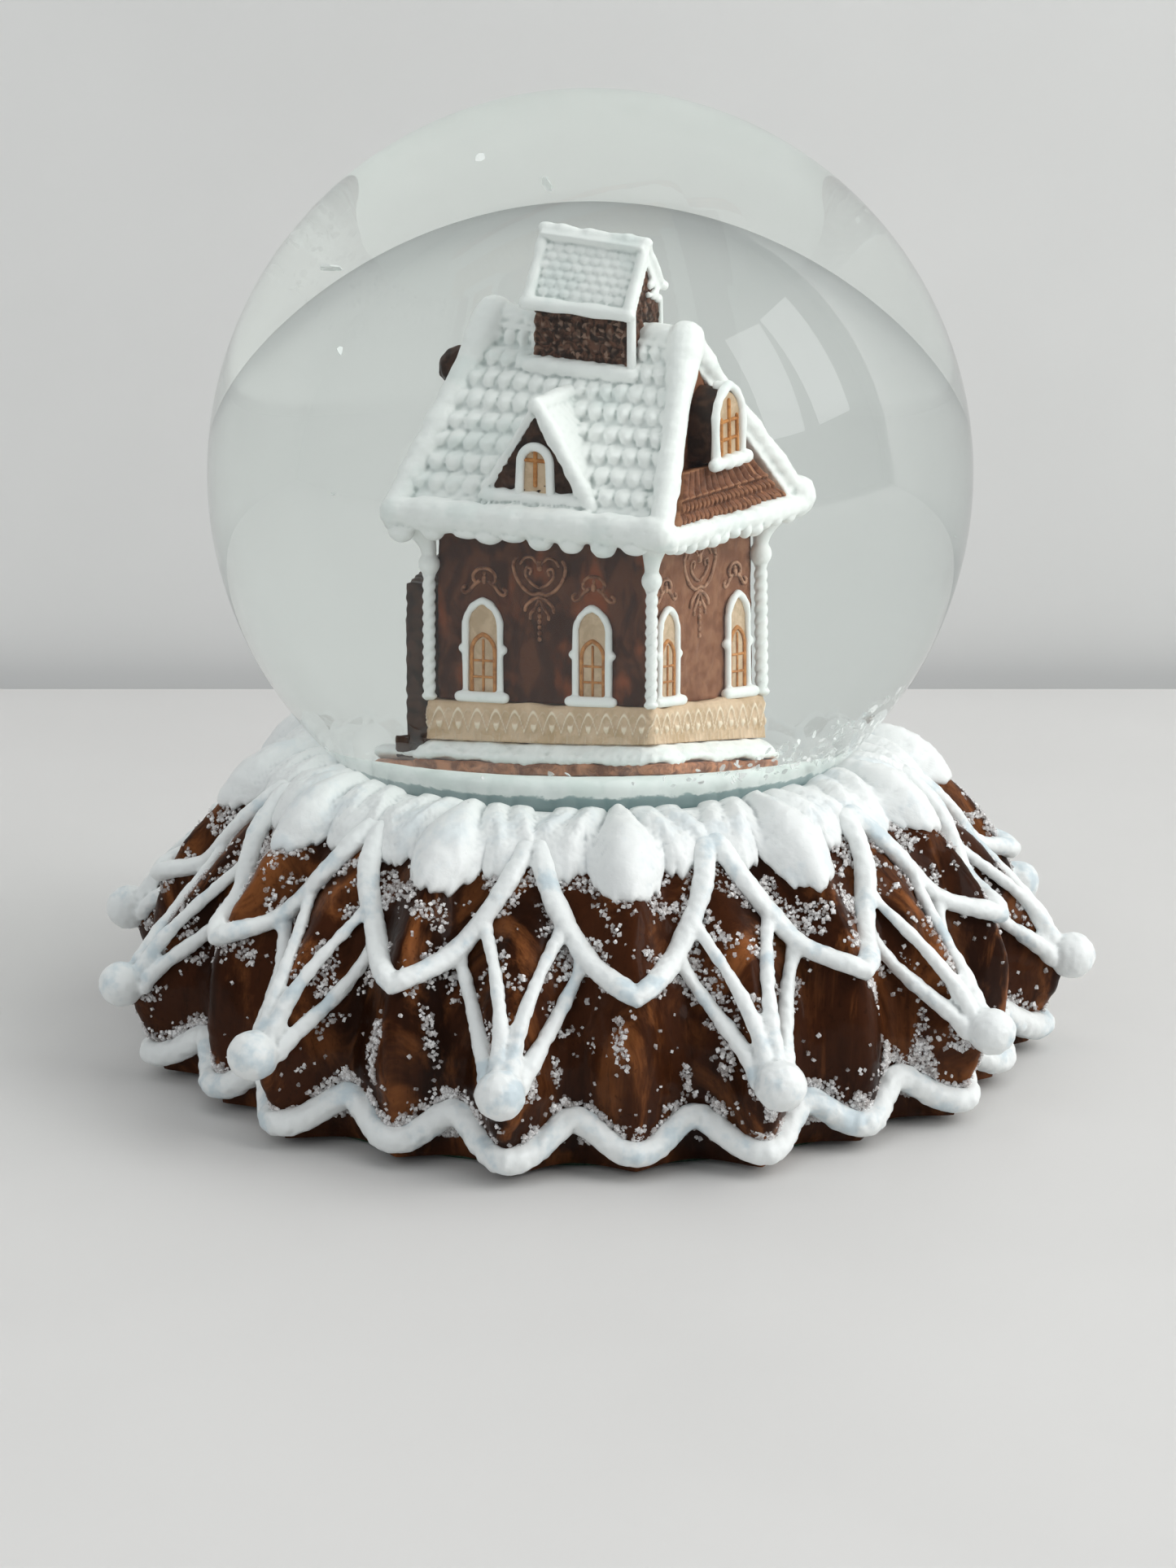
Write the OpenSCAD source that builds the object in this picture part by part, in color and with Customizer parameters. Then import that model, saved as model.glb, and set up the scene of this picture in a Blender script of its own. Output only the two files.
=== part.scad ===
// Musical water globe on a fluted gingerbread base, with an iced gingerbread house inside.
// Millimetres. +Z is up, the origin is the centre of the resting plane, -Y is the front.

/* [Globe] */
// Outer radius of the glass ball
globe_r = 50; // [49:0.5:51]
// Thickness of the glass
glass_t = 2; // [1.5:0.1:2.4]
// Height of the ball's centre above the table
globe_z = 75.7; // [75:0.1:77]
// Outer radius of the glass neck
neck_r = 33; // [32:0.5:33]

/* [Base] */
// Radius of the ring that the cream sits on
ring_r = 36; // [35:0.5:37]
// Height of that ring
ring_z = 39; // [38.5:0.5:40]
// Number of pearls, and of petals, around the skirt
folds = 12; // [10:1:14]
// Radius of the folds that carry the pearls, at their widest
pearl_fold_r = 63.6; // [62:0.2:66]
// Radius of the folds below the petals, at their widest
petal_fold_r = 59.2; // [58:0.2:60]
// Radius of the hollows between folds, at their widest
hollow_r = 55.6; // [55:0.2:57]
// Turn of the folds about the globe's axis, in degrees
fold_turn = -9.5; // [-15:0.5:15]

/* [Icing] */
// Radius of an icing pearl
pearl_r = 3; // [2.5:0.1:3.5]
// Radius of the wavy icing line along the hem
wave_r = 1.8; // [1.4:0.1:2]
// Radius of the icing line around a petal
petal_line_r = 1.4; // [1:0.1:1.6]
// Radius of the fine lines above a pearl
fan_line_r = 0.8; // [0.6:0.05:1]

/* [House] */
// Turn of the house about the globe's axis, in degrees
house_turn = 28; // [0:1:90]
// Half of the walls' length, along the ridge
wall_s = 12.2; // [12:0.1:12.4]
// Half of the walls' width
wall_t = 10.2; // [10:0.1:10.3]
// Height of the main ridge above the table
ridge_z = 92.2; // [92:0.1:93]
// Height of the eaves above the table
eave_z = 73.4; // [73:0.1:74]

/* [Movement] */
// Height of the tune cylinder's axis
tune_z = 21.2; // [21.2:0.1:21.3]
// Radius of the tune cylinder
tune_r = 5.4; // [5.2:0.1:5.4]
// Notes on the comb
notes = 18; // [12:1:18]
// Teeth on the barrel's crown, and on the pinion it drives
crown_teeth = 30; // [30:1:30]
crown_pinion_teeth = 12; // [12:1:12]
// Teeth on the tune cylinder's wheel, and on the governor pinion it drives
wheel_teeth = 30; // [30:1:30]
governor_pinion_teeth = 12; // [12:1:12]
// Teeth on the worm wheel, which turn the one-start worm
worm_wheel_teeth = 20; // [20:1:20]

/* [Hidden] */

$fn = 48;
gap = 0.05;                      // running and assembly clearance, on a radius
skirt_gap = 0.8;                 // the skirt's hem stands this far above the table
glass_in = globe_r - glass_t;
neck_in = neck_r - glass_t;
neck_z = 32;                     // foot of the glass neck
seat_z = 30.4;                   // floor of the recess that takes the globe
seat_r = neck_r + 0.5;
cavity_top = 28.2;               // roof of the hollow that takes the movement
cavity_r = 42.5;
cover_z = 9;                     // underside of the bottom cover
cover_t = 2;
cover_r = 48;
cover_screw_r = 45.2;            // pitch radius of the three cover screws
screw_r = 1.3;
ground_z = 46;                   // top of the snowy ground
ground_r = 30.5;

// Radius of a hole that just clears the glass ball, at height z.
function glass_at(z) = sqrt(pow(globe_r, 2) - pow(globe_z - z, 2)) + 0.3;

// A cubic Bezier curve.
function bezier(a, b, c, d, t) =
    a * pow(1 - t, 3) + 3 * b * t * pow(1 - t, 2) + 3 * c * t * t * (1 - t) + d * pow(t, 3);

// ---------- Skirt surface: angle a, and s: 0 at the ring, 1 at the belly and 2 at the hem ----------

// One upright section of the skirt, as [radius, height]. belly is where it is widest. brow and shoulder
// are the curve's handles at the ring and at the belly.
function section(brow, shoulder, belly, foot_r, s) = s <= 1
    ? bezier([ring_r, ring_z], [ring_r, ring_z] + brow, belly + shoulder, belly, s)
    : bezier(belly, belly - [0, 4], [foot_r + 0.5, skirt_gap + 3], [foot_r, skirt_gap], s - 1);

function pearl_section(s) = section([9.5, -2], [-3, 8], [pearl_fold_r, 12], pearl_fold_r - 4, s);
function petal_section(s) = section([13, -1.5], [0.5, 12], [petal_fold_r, 12], petal_fold_r - 1.6, s);
function hollow_section(s) = section([10.5, -2.5], [-0.6, 9], [hollow_r, 11], hollow_r - 1.2, s);

// Share of the hollow at angle a from a pearl fold: 0 on every fold, 1 midway between folds.
function hollow_share(a) = abs(sin(folds * a));
function skirt_rz(a, s) =
    let (h = hollow_share(a), fold = cos(folds * a) > 0 ? pearl_section(s) : petal_section(s))
    fold * (1 - h) + hollow_section(s) * h;
function around(a, rz) = [rz[0] * sin(a), -rz[0] * cos(a), rz[1]];
function skirt(a, s) = around(a, skirt_rz(a, s));
function outward(a, s) =
    let (u = skirt(a + 0.5, s) - skirt(a - 0.5, s))
    let (v = skirt(a, s + 0.01) - skirt(a, s - 0.01))
    let (n = cross(v, u))
    n / norm(n);
// A point standing lift above the skirt.
function on_skirt(a, s, lift) = skirt(a, s) + lift * outward(a, s);

// ---------- Swept lines ----------

function ring_points(centre, along, up, radius, sides) =
    let (side = cross(along, up), x = side / norm(side), y0 = cross(x, along), y = y0 / norm(y0))
    [for (k = [0:sides - 1]) centre + radius * (cos(360 * k / sides) * x + sin(360 * k / sides) * y)];

// A round line along a path of points. It closes on itself if closed.
module line(path, radius, closed = false, sides = 6) {
    n = len(path);
    last = closed ? n : n - 1;
    points = [for (i = [0:n - 1])
        let (before = closed ? path[(i + n - 1) % n] : path[max(i - 1, 0)],
             after = closed ? path[(i + 1) % n] : path[min(i + 1, n - 1)])
        each ring_points(path[i], after - before, [path[i][0], path[i][1], 20], radius, sides)];
    walls = [for (i = [0:last - 1], k = [0:sides - 1])
        let (j = (i + 1) % n, m = (k + 1) % sides)
        [i * sides + k, j * sides + k, j * sides + m, i * sides + m]];
    ends = closed ? [] : [[for (k = [0:sides - 1]) k], [for (k = [sides - 1:-1:0]) (n - 1) * sides + k]];
    polyhedron(points, concat(walls, ends));
}

// A closed skin through rings of points, each ring listed the same way round, from the top ring down.
module skin(rings) {
    n = len(rings[0]);
    rows = len(rings);
    walls = [for (i = [0:rows - 2], k = [0:n - 1])
        [i * n + k, (i + 1) * n + k, (i + 1) * n + (k + 1) % n, i * n + (k + 1) % n]];
    lids = [[for (k = [0:n - 1]) k], [for (k = [n - 1:-1:0]) (rows - 1) * n + k]];
    polyhedron([for (r = rings) each r], concat(walls, lids));
}

// A closed hoop through rings of points: the last ring joins the first.
module hoop(rings) {
    n = len(rings[0]);
    rows = len(rings);
    polyhedron([for (r = rings) each r], [for (i = [0:rows - 1], k = [0:n - 1])
        let (j = (i + 1) % rows, m = (k + 1) % n) [i * n + k, j * n + k, j * n + m, i * n + m]]);
}

module around_folds() {
    for (i = [0:folds - 1]) rotate([0, 0, fold_turn + i * 360 / folds]) children();
}

// ---------- Base ----------

module base_casting() {
    angles = [for (k = [0:folds * 10 - 1]) k * 36 / folds];
    rim_r = glass_at(ring_z);
    cover_top = cover_z + cover_t + gap;
    seat = [[seat_r, seat_z], [seat_r, ring_z - 0.9], [rim_r, ring_z - 0.9], [rim_r, ring_z]];
    outside = [0, 0.18, 0.36, 0.54, 0.7, 0.85, 1, 1.25, 1.55, 2];
    hollow = [[cover_r, skirt_gap], [cover_r, cover_top], [cavity_r, cover_top], [cavity_r, cavity_top]];
    color("saddlebrown") difference() {
        rotate([0, 0, fold_turn]) skin(concat(
            [for (rz = seat) [for (a = angles) around(a, rz)]],
            [for (s = outside) [for (a = angles) skirt(a, s)]],
            [for (rz = hollow) [for (a = angles) around(a, rz)]]));
        at_cover_screws() translate([0, 0, cover_top - 0.5]) cylinder(h = 7, r = screw_r + gap, $fn = 24);
    }
}

// The garland of piped cream lies on the skirt around the glass, with a broad swag over each petal.
function swag(a) = pow(abs(sin(folds * a / 2)), 1.5);
function ruffle(a) = 0.35 * cos(folds * 6 * a);
function cream_end(a) = 0.2 + 0.18 * swag(a);
module cream_garland() {
    columns = folds * 12;
    angles = [for (k = [0:columns - 1]) k * 360 / columns];
    low = ring_z - 0.3;
    high = ring_z + 1.3;
    color("white") rotate([0, 0, fold_turn]) hoop([
        [for (a = angles) around(a, [glass_at(low), low])],
        [for (a = angles) around(a, [glass_at(high), high])],
        [for (a = angles) around(a, [ring_r + 1.4, ring_z + 2.1 + ruffle(a)])],
        [for (a = angles) on_skirt(a, 0.4 * cream_end(a), 2.6 + ruffle(a))],
        [for (a = angles) on_skirt(a, 0.75 * cream_end(a), 2.5 + ruffle(a))],
        [for (a = angles) on_skirt(a, cream_end(a), 1.4)],
        [for (a = angles) on_skirt(a, cream_end(a), -0.4)],
        [for (a = angles) on_skirt(a, 0.5 * cream_end(a), -0.4)]
    ]);
}

// Outline of a petal, as [angle from its middle, s]. side is -1 or 1, and v runs from 0 at the top
// to 1 at the tip.
petal_top = 0.3;
petal_tip = 0.7;
petal_half_angle = 11.2;
function petal_at(side, v) =
    [side * petal_half_angle * pow(1 - v * v, 0.8), petal_top + v * (petal_tip - petal_top)];

module petal_piping() {
    half_pitch = 180 / folds;
    down = [for (v = [0:0.2:0.8]) petal_at(-1, v)];
    up = [for (v = [0.8:-0.2:0]) petal_at(1, v)];
    path = [for (p = concat(down, [petal_at(1, 1)], up))
        on_skirt(half_pitch + p[0], p[1], petal_line_r * 0.6)];
    color("white") around_folds() line(path, petal_line_r);
}

// Four fine lines fan out from each pearl to the petals on either side of it.
module fan_piping() {
    lines = [[9.2, 0.605], [6.3, 0.51]];          // [angle from the pearl, s] where a line meets a petal
    color("white") around_folds() for (side = [-1, 1], i = [0, 1]) {
        end = lines[i];
        line([for (v = [0:0.25:1])
            on_skirt(side * (1.2 - 0.8 * i + (end[0] - 1.2) * pow(v, 1.4)),
                0.92 + v * (end[1] - 0.92), fan_line_r * 0.6)], fan_line_r, sides = 5);
    }
}

module pearls() {
    color("white") around_folds() translate(on_skirt(0, 0.97, 1.6)) sphere(pearl_r);
}

// The wavy line follows the hem, low on every fold and high in every hollow.
module wave_piping() {
    columns = folds * 8;
    color("white") rotate([0, 0, fold_turn])
        line([for (k = [0:columns - 1])
            let (a = k * 360 / columns) on_skirt(a, 1.71 - 0.37 * pow(hollow_share(a), 2), wave_r * 0.5)],
            wave_r, closed = true);
}

module felt_ring() {
    color("darkgreen") difference() {
        cylinder(h = skirt_gap - 0.02, r = hollow_r - 2.4);
        translate([0, 0, -1]) cylinder(h = 4, r = cover_r + 0.8);
    }
}

module at_cover_screws() {
    for (i = [0:2]) rotate([0, 0, 30 + i * 120]) translate([cover_screw_r, 0, 0]) children();
}

// Holes through the bottom cover for the screws that hold the movement.
movement_screw_spots = [[-9, 13], [-9, -13], [24, -11]];
module at_movement_screws() {
    for (p = movement_screw_spots) translate([p[0], p[1], 0]) children();
}

module screw(grip) {
    difference() {
        union() {
            cylinder(h = 1.4, r = 2.4);
            cylinder(h = 1.4 + grip, r = screw_r);
        }
        translate([0, 0, -1]) cylinder(h = 1.8, r = 0.9, $fn = 6);
    }
}

module bottom_cover() {
    color("tan") difference() {
        translate([0, 0, cover_z]) cylinder(h = cover_t, r = cover_r - 0.3);
        translate([0, 0, cover_z - 1]) cylinder(h = cover_t + 2, r = 2.6);
        at_cover_screws() translate([0, 0, cover_z - 1]) cylinder(h = cover_t + 2, r = screw_r + 0.15);
        at_movement_screws() translate([0, 0, cover_z - 1]) cylinder(h = cover_t + 2, r = screw_r + 0.15);
    }
}

module cover_screws() {
    color("silver") at_cover_screws() translate([0, 0, cover_z - 1.4 - gap]) screw(7);
}

module globe_adhesive() {
    color("gainsboro") difference() {
        translate([0, 0, neck_z - 0.5]) cylinder(h = 4.5, r = seat_r - 0.03);
        translate([0, 0, neck_z - 2]) cylinder(h = 8, r = neck_r + 0.03);
    }
}

// ---------- Globe ----------

module glass_globe() {
    color("lightcyan", 0.3) difference() {
        union() {
            translate([0, 0, globe_z]) sphere(globe_r, $fn = 96);
            translate([0, 0, neck_z]) cylinder(h = 10, r = neck_r);
        }
        translate([0, 0, globe_z]) sphere(glass_in, $fn = 96);
        translate([0, 0, neck_z - 1]) cylinder(h = 12, r = neck_in);
        translate([0, 0, neck_z - 40]) cylinder(h = 40, r = globe_r);
    }
}

module neck_gasket() {
    color("dimgray") difference() {
        translate([0, 0, neck_z - 0.55]) cylinder(h = 0.5, r = neck_r - 0.2);
        translate([0, 0, neck_z - 1]) cylinder(h = 2, r = neck_in);
    }
}

module stopper() {
    color("dimgray") {
        translate([0, 0, seat_z + gap]) cylinder(h = neck_z - seat_z - 0.65, r = neck_r - 0.2);
        translate([0, 0, seat_z + 0.5]) cylinder(h = 7.5, r = neck_in - gap);
    }
}

module snow_ground() {
    color("white") translate([0, 0, seat_z + 8.05]) cylinder(h = ground_z - seat_z - 8.05, r = ground_r);
}

// The liquid fills the glass above the settled snow, around the house.
liquid_floor = ground_z + 0.6;
module liquid_fill() {
    color("azure", 0.2) difference() {
        translate([0, 0, globe_z]) sphere(glass_in - gap, $fn = 96);
        translate([0, 0, globe_z - 60]) cylinder(h = 60 - globe_z + liquid_floor, r = 60);
        house_place() {
            block(15.2, 12.4, liquid_floor - 1, 50);
            block(14.1, 12.1, 49, eave_z);
            block(16.4, 9.5, liquid_floor - 1, 66.4);                  // around the chimney's breast
            translate([hearth_s - 0.3, -hearth_half - 0.3, liquid_floor - 1])
                cube([6, 2 * hearth_half + 0.6, 51.3 - liquid_floor]);
            slab(-17.4, 17.4, [[-14.6, 71.3], [14.6, 71.3], [14.6, 74], [0, ridge_z + 0.6], [-14.6, 74]]);
            translate([-16.4, chimney_t - 2.8, 60]) cube([4, 5.6, 28.3]);
            block(5.6, dormer_face + 0.6, 75.5, 86.5);
            block(cupola_s + 6.4, 4.7, 86, cupola_top + 0.2);
        }
    }
}

// Settled flakes lie in rings in the channel around the ground.
module snow_flakes() {
    color("white") for (ring = [0:1], i = [0:23])
        rotate([0, 0, i * 15 + ring * 7]) translate([33.5 + ring * 2.2, 0, 44.2 + ring * 1.4])
            cylinder(h = 0.2, r = 0.7, $fn = 6);
}

// ---------- House, on axes of its own: x runs along the ridge, and -y faces the front ----------

module house_place() {
    translate([0.2, -3, 0]) rotate([0, 0, -house_turn]) children();
}

// A box of half length s and half width t, between two heights.
module block(s, t, low, high) {
    translate([-s, -t, low]) cube([2 * s, 2 * t, high - low]);
}

// A [y, z] outline, drawn out along the ridge from one x to another.
module slab(from, to, outline) {
    translate([from, 0, 0]) rotate([90, 0, 90]) linear_extrude(to - from) polygon(outline);
}

// A [x, z] outline, drawn out across the house from one y to another.
module cross_slab(from, to, outline) {
    translate([0, to, 0]) rotate([90, 0, 0]) linear_extrude(to - from) polygon(outline);
}

plinth_snow_z = 47.45;
skirting_z = 49.8;
wall_z = 54.1;
eave_t = 14.4;                                        // half width of the roof at its eaves
eave_s = 16.3;                                        // half length of the roof at its eaves
ridge_s = 11.55;                                      // half length of the ridge
pitch = (ridge_z - eave_z) / eave_t;                  // rise of the roof for each unit across
roof_drop = 3.3;                                      // the roof's thickness, measured upright
window_spots_s = [-7, 5.6];
window_spots_t = [-6.7, 7.1];
window_z = 54.6;

hearth_s = -20.5;                                     // outer end of the hearth under the chimney
hearth_half = 8.5;
step_s = -17.9;                                       // outer face of the step on the hearth
module house_plinth() {
    color("peru") house_place() {
        block(15, 12.2, ground_z + gap, plinth_snow_z - gap);
        translate([hearth_s, -hearth_half, ground_z + gap])
            cube([-14 - hearth_s, 2 * hearth_half, plinth_snow_z - ground_z - 2 * gap]);
    }
}

module plinth_snow() {
    color("white") house_place() {
        block(14.7, 11.9, plinth_snow_z, skirting_z - gap);
        translate([hearth_s + 0.3, 0.3 - hearth_half, plinth_snow_z])
            cube([step_s - gap - hearth_s - 0.3, 2 * hearth_half - 0.6, 1.2]);
    }
}

module skirting() {
    color("wheat") house_place() block(13.3, 11.3, skirting_z, wall_z - gap);
}

module house_walls() {
    top = ridge_z - roof_drop - 0.15;
    color("saddlebrown") house_place() slab(-wall_s, wall_s, [[-wall_t, wall_z], [wall_t, wall_z],
        [wall_t, top - pitch * wall_t], [0, top], [-wall_t, top - pitch * wall_t]]);
}

module corner_columns() {
    color("white") house_place() for (x = [-1, 1], y = [-1, 1])
        translate([x * (wall_s + 0.68), y * (wall_t + 0.68), wall_z]) {
            cylinder(h = 17.4, r = 0.6);
            translate([0, 0, 13.6]) sphere(0.9);
        }
}

module pointed_arch(half_width, height) {
    spring = height - 1.7 * half_width;
    intersection() {
        translate([half_width, spring]) circle(2 * half_width);
        translate([-half_width, spring]) circle(2 * half_width);
        translate([-half_width, 0]) square([2 * half_width, height + 1]);
    }
    translate([-half_width, 0]) square([2 * half_width, spring]);
}

// Puts its children flat on the wall at each window, with their own z pointing out of the wall. The
// long walls and the right gable have two windows each, and the left gable carries the chimney.
module at_windows() {
    house_place() for (side = [0, 180]) rotate([0, 0, side]) {
        for (s = window_spots_s) translate([s, -wall_t - gap, window_z]) rotate([90, 0, 0]) children();
    }
    house_place() for (t = window_spots_t)
        translate([wall_s + gap, t, window_z]) rotate([90, 0, 90]) children();
}

module window_frames() {
    color("white") at_windows() {
        linear_extrude(0.8) difference() {
            pointed_arch(2.2, 10);
            translate([0, 0.6]) pointed_arch(1.55, 8.6);
        }
        translate([-2.8, -0.4, 0]) cube([5.6, 1, 1.2]);
    }
}

module window_panes() {
    color("burlywood") at_windows() linear_extrude(0.35)
        translate([0, 0.65]) pointed_arch(1.5, 8.45);
}

module main_roof() {
    inner = ridge_z - roof_drop;
    color("white") house_place() {
        intersection() {
            slab(-eave_s - 1, eave_s + 1, [[-eave_t, eave_z], [-eave_t + 1, eave_z - 1.2],
                [-wall_t - 0.1, inner - pitch * (wall_t + 0.1)], [0, inner],
                [wall_t + 0.1, inner - pitch * (wall_t + 0.1)], [eave_t - 1, eave_z - 1.2], [eave_t, eave_z],
                [0, ridge_z]]);
            cross_slab(-20, 20, [[-eave_s, 60], [eave_s, 60], [eave_s, eave_z], [ridge_s, ridge_z + 0.1],
                [-ridge_s, ridge_z + 0.1], [-eave_s, eave_z]]);
        }
        // Snow along the foot of the gable's tiled canopy
        translate([eave_s - 1.3, -eave_t + 0.8, eave_z - 1.9]) cube([2.1, 2 * eave_t - 1.6, 1.9]);
    }
}

module gable_canopy() {
    color("sienna") house_place() intersection() {
        cross_slab(-12, 12, [[wall_s + gap, eave_z + 0.05], [eave_s - 0.4, eave_z + 0.05],
            [14.4, 78.2], [wall_s + gap, 78.6]]);
        slab(10, 20, [[-10.4, eave_z], [10.4, eave_z], [7.4, 78.6], [-7.4, 78.6]]);
    }
}

module oriel_window() {
    color("burlywood") house_place() translate([wall_s + gap, 0, 78.7]) rotate([90, 0, 90])
        linear_extrude(3.5) pointed_arch(3, 8);
}

chimney_t = 1.2;                                      // middle of the chimney's stack, across the house
module chimney() {
    breast_t = 9.3;
    color("saddlebrown") house_place() {
        translate([step_s, 0.3 - hearth_half, plinth_snow_z + 0.15])
            cube([-14.8 - step_s, 2 * hearth_half - 0.6, skirting_z - plinth_snow_z]);
        translate([-16.1, -breast_t, skirting_z]) cube([2.7, 2 * breast_t, wall_z - skirting_z + 0.1]);
        translate([-16.1, -breast_t, wall_z]) cube([16.1 - wall_s - gap, 2 * breast_t, 12]);
        translate([-16.1, chimney_t - 2.6, wall_z + 11.9]) cube([1.8, 5.2, 19.4]);
        translate([-16.1, chimney_t, wall_z + 31.3]) rotate([0, 90, 0]) cylinder(h = 1.8, r = 2.6);
    }
}

// Everything under the top of the main roof, to cut the pieces that stand on it.
module under_roof() {
    top = ridge_z + 0.1;
    slab(-20, 20, [[-20, 60], [20, 60], [20, top - 20 * pitch], [0, top], [-20, top - 20 * pitch]]);
}

dormer_face = 12.1;                                   // where a dormer's front stands, across the house
dormer_apex = 84.2;
module dormers() {
    color("saddlebrown") house_place() difference() {
        for (side = [0, 180]) rotate([0, 0, side])
            cross_slab(-dormer_face, -5, [[-4.5, 76.8], [4.5, 76.8], [0, dormer_apex]]);
        under_roof();
    }
}

module dormer_roofs() {
    color("white") house_place() difference() {
        for (side = [0, 180]) rotate([0, 0, side])
            cross_slab(-dormer_face - 0.4, -4, [[-4.6, 76.8], [-5.4, 76], [0, dormer_apex + 2], [5.4, 76],
                [4.6, 76.8], [0, dormer_apex + 0.2]]);
        under_roof();
    }
}

cupola_s = 0.5;                                       // middle of the cupola, along the ridge
cupola_top = 101.7;
module cupola_walls() {
    color("saddlebrown") house_place() difference() {
        slab(cupola_s - 5.6, cupola_s + 5.6, [[-3, 86], [3, 86], [3, 95], [0, cupola_top - 1.8], [-3, 95]]);
        under_roof();
    }
}

module cupola_roof() {
    color("white") house_place() slab(cupola_s - 6.2, cupola_s + 6.2, [[-3.6, 94.3], [-4.2, 93.7],
        [0, cupola_top], [4.2, 93.7], [3.6, 94.3], [0, cupola_top - 1.7]]);
}

// ---------- Music movement: the key turns on the base's own axis, the tune cylinder along +X ----------

bed_z = cover_z + cover_t + 0.05;                     // underside of the bedplate
bed_t = 1.5;
bed_top = bed_z + bed_t;
arbor_r = 2;
barrel_r = 12;
barrel_z = bed_top + 0.35;
crown_z = barrel_z + 3.7;                             // foot of the crown's teeth
crown_r = 10.2;                                       // mean radius of the crown's teeth
crown_module = 2 * crown_r / crown_teeth;
shaft_r = 0.75;
tune_from = 14.2;
tune_to = 31.2;
wheel_x = 31.8;                                       // near face of the tune cylinder's wheel
wheel_module = 0.4;
governor_y = wheel_module * (wheel_teeth + governor_pinion_teeth) / 2;
worm_module = 0.5;
worm_wheel_x = 34.6;
worm_wheel_r = worm_module * worm_wheel_teeth / 2;
worm_r = 1.6;                                         // pitch radius of the worm
worm_lead = PI * worm_module;
worm_x = worm_wheel_x + 0.5;
worm_y = governor_y + worm_wheel_r + worm_r;

// The involute function, in radians, and half of a tooth's angle at radius r, in degrees.
function involute(angle) = tan(angle) - angle * PI / 180;
function half_tooth(m, teeth, backlash, r) =
    let (pitch_r = m * teeth / 2, base_r = pitch_r * cos(20), flank = r > base_r ? acos(base_r / r) : 0)
    (PI / (2 * teeth) + involute(20) - involute(flank) - backlash / (2 * pitch_r)) * 180 / PI;

// A spur gear's outline. Its first tooth points along +X, turned by turn degrees.
module gear_outline(m, teeth, backlash, turn = 0, head = 0.8) {
    pitch_r = m * teeth / 2;
    radii = [pitch_r - 1.15 * m, pitch_r - 0.4 * m, pitch_r + 0.2 * m, pitch_r + head * m];
    polygon([for (i = [0:teeth - 1]) each concat(
        [for (r = radii) let (a = turn + i * 360 / teeth - half_tooth(m, teeth, backlash, r))
            r * [cos(a), sin(a)]],
        [for (k = [len(radii) - 1:-1:0])
            let (r = radii[k], a = turn + i * 360 / teeth + half_tooth(m, teeth, backlash, r))
            r * [cos(a), sin(a)]])]);
}

// Draws a [y, z] outline about the tune cylinder's axis, moved across by y, out along +X.
module along_x(from, length, y = 0) {
    translate([from, y, tune_z]) rotate([90, 0, 90]) linear_extrude(length) children();
}

module bedplate() {
    color("silver") difference() {
        intersection() {
            translate([-14, -21, bed_z]) cube([54, 42, bed_t]);
            translate([0, 0, bed_z - 1]) cylinder(h = 4, r = 41.5);
        }
        translate([0, 0, bed_z - 1]) cylinder(h = 4, r = arbor_r + gap);
        at_movement_screws() translate([0, 0, bed_z - 1]) cylinder(h = 4, r = screw_r + gap);
        translate([worm_x, worm_y, bed_z + 0.6]) cylinder(h = 4, r = 0.5 + gap, $fn = 24);
    }
}

module movement_screws() {
    color("silver") at_movement_screws() translate([0, 0, cover_z - 1.4 - gap]) screw(cover_t + bed_t);
}

module spring_barrel() {
    color("goldenrod") {
        difference() {
            translate([0, 0, barrel_z]) cylinder(h = crown_z - barrel_z, r = barrel_r);
            translate([0, 0, barrel_z + 0.7]) cylinder(h = crown_z - barrel_z - 1.4, r = barrel_r - 0.8);
            translate([0, 0, barrel_z - 1]) cylinder(h = 6, r = arbor_r + gap);
        }
        for (i = [0:crown_teeth - 1]) rotate([0, 0, (i + 0.5) * 360 / crown_teeth])
            translate([crown_r - 1, -0.3, crown_z - 0.2]) cube([2, 0.6, 1.4]);
    }
}

// The spring is a flat strip coiled inside the barrel.
module mainspring() {
    turns = 6;
    steps = 16;
    coil = [for (i = [0:turns * steps]) let (a = i * 360 / steps, r = 3 + 7.7 * i / (turns * steps)) [a, r]];
    outer = [for (p = coil) (p[1] + 0.3) * [cos(p[0]), sin(p[0])]];
    inner = [for (i = [len(coil) - 1:-1:0]) coil[i][1] * [cos(coil[i][0]), sin(coil[i][0])]];
    color("steelblue") translate([0, 0, barrel_z + 0.8]) linear_extrude(2) polygon(concat(outer, inner));
}

key_z = 5.1; // height of the middle of the key's wings above the table
module winding_key() {
    color("goldenrod") difference() {
        union() {
            translate([0, 0, 1.6]) cylinder(h = 6.9, r = 3.4);
            for (side = [-1, 1])
                translate([side * 7.2, 1.1, key_z]) rotate([90, 0, 0]) cylinder(h = 2.2, r = 3.6);
            translate([-7, -1.1, key_z - 2]) cube([14, 2.2, 4]);
        }
        translate([0, 0, 3]) cylinder(h = 8, r = arbor_r + 0.02);
        for (side = [-1, 1]) translate([side * 7.6, 3, key_z]) rotate([90, 0, 0]) cylinder(h = 6, r = 1.6);
    }
}

module winding_arbor() {
    color("silver") translate([0, 0, 3.05]) cylinder(h = crown_z + 0.9 - 3.05, r = arbor_r);
}

// An upright bearing plate that holds the shafts at the [y] places listed.
module bearing(x, from_y, to_y, shafts) {
    difference() {
        translate([x, from_y, bed_top]) cube([0.8, to_y - from_y, tune_z + 2.3 - bed_top]);
        for (y = shafts)
            translate([x - 1, y, tune_z]) rotate([0, 90, 0]) cylinder(h = 3, r = shaft_r + gap, $fn = 24);
    }
}

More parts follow.
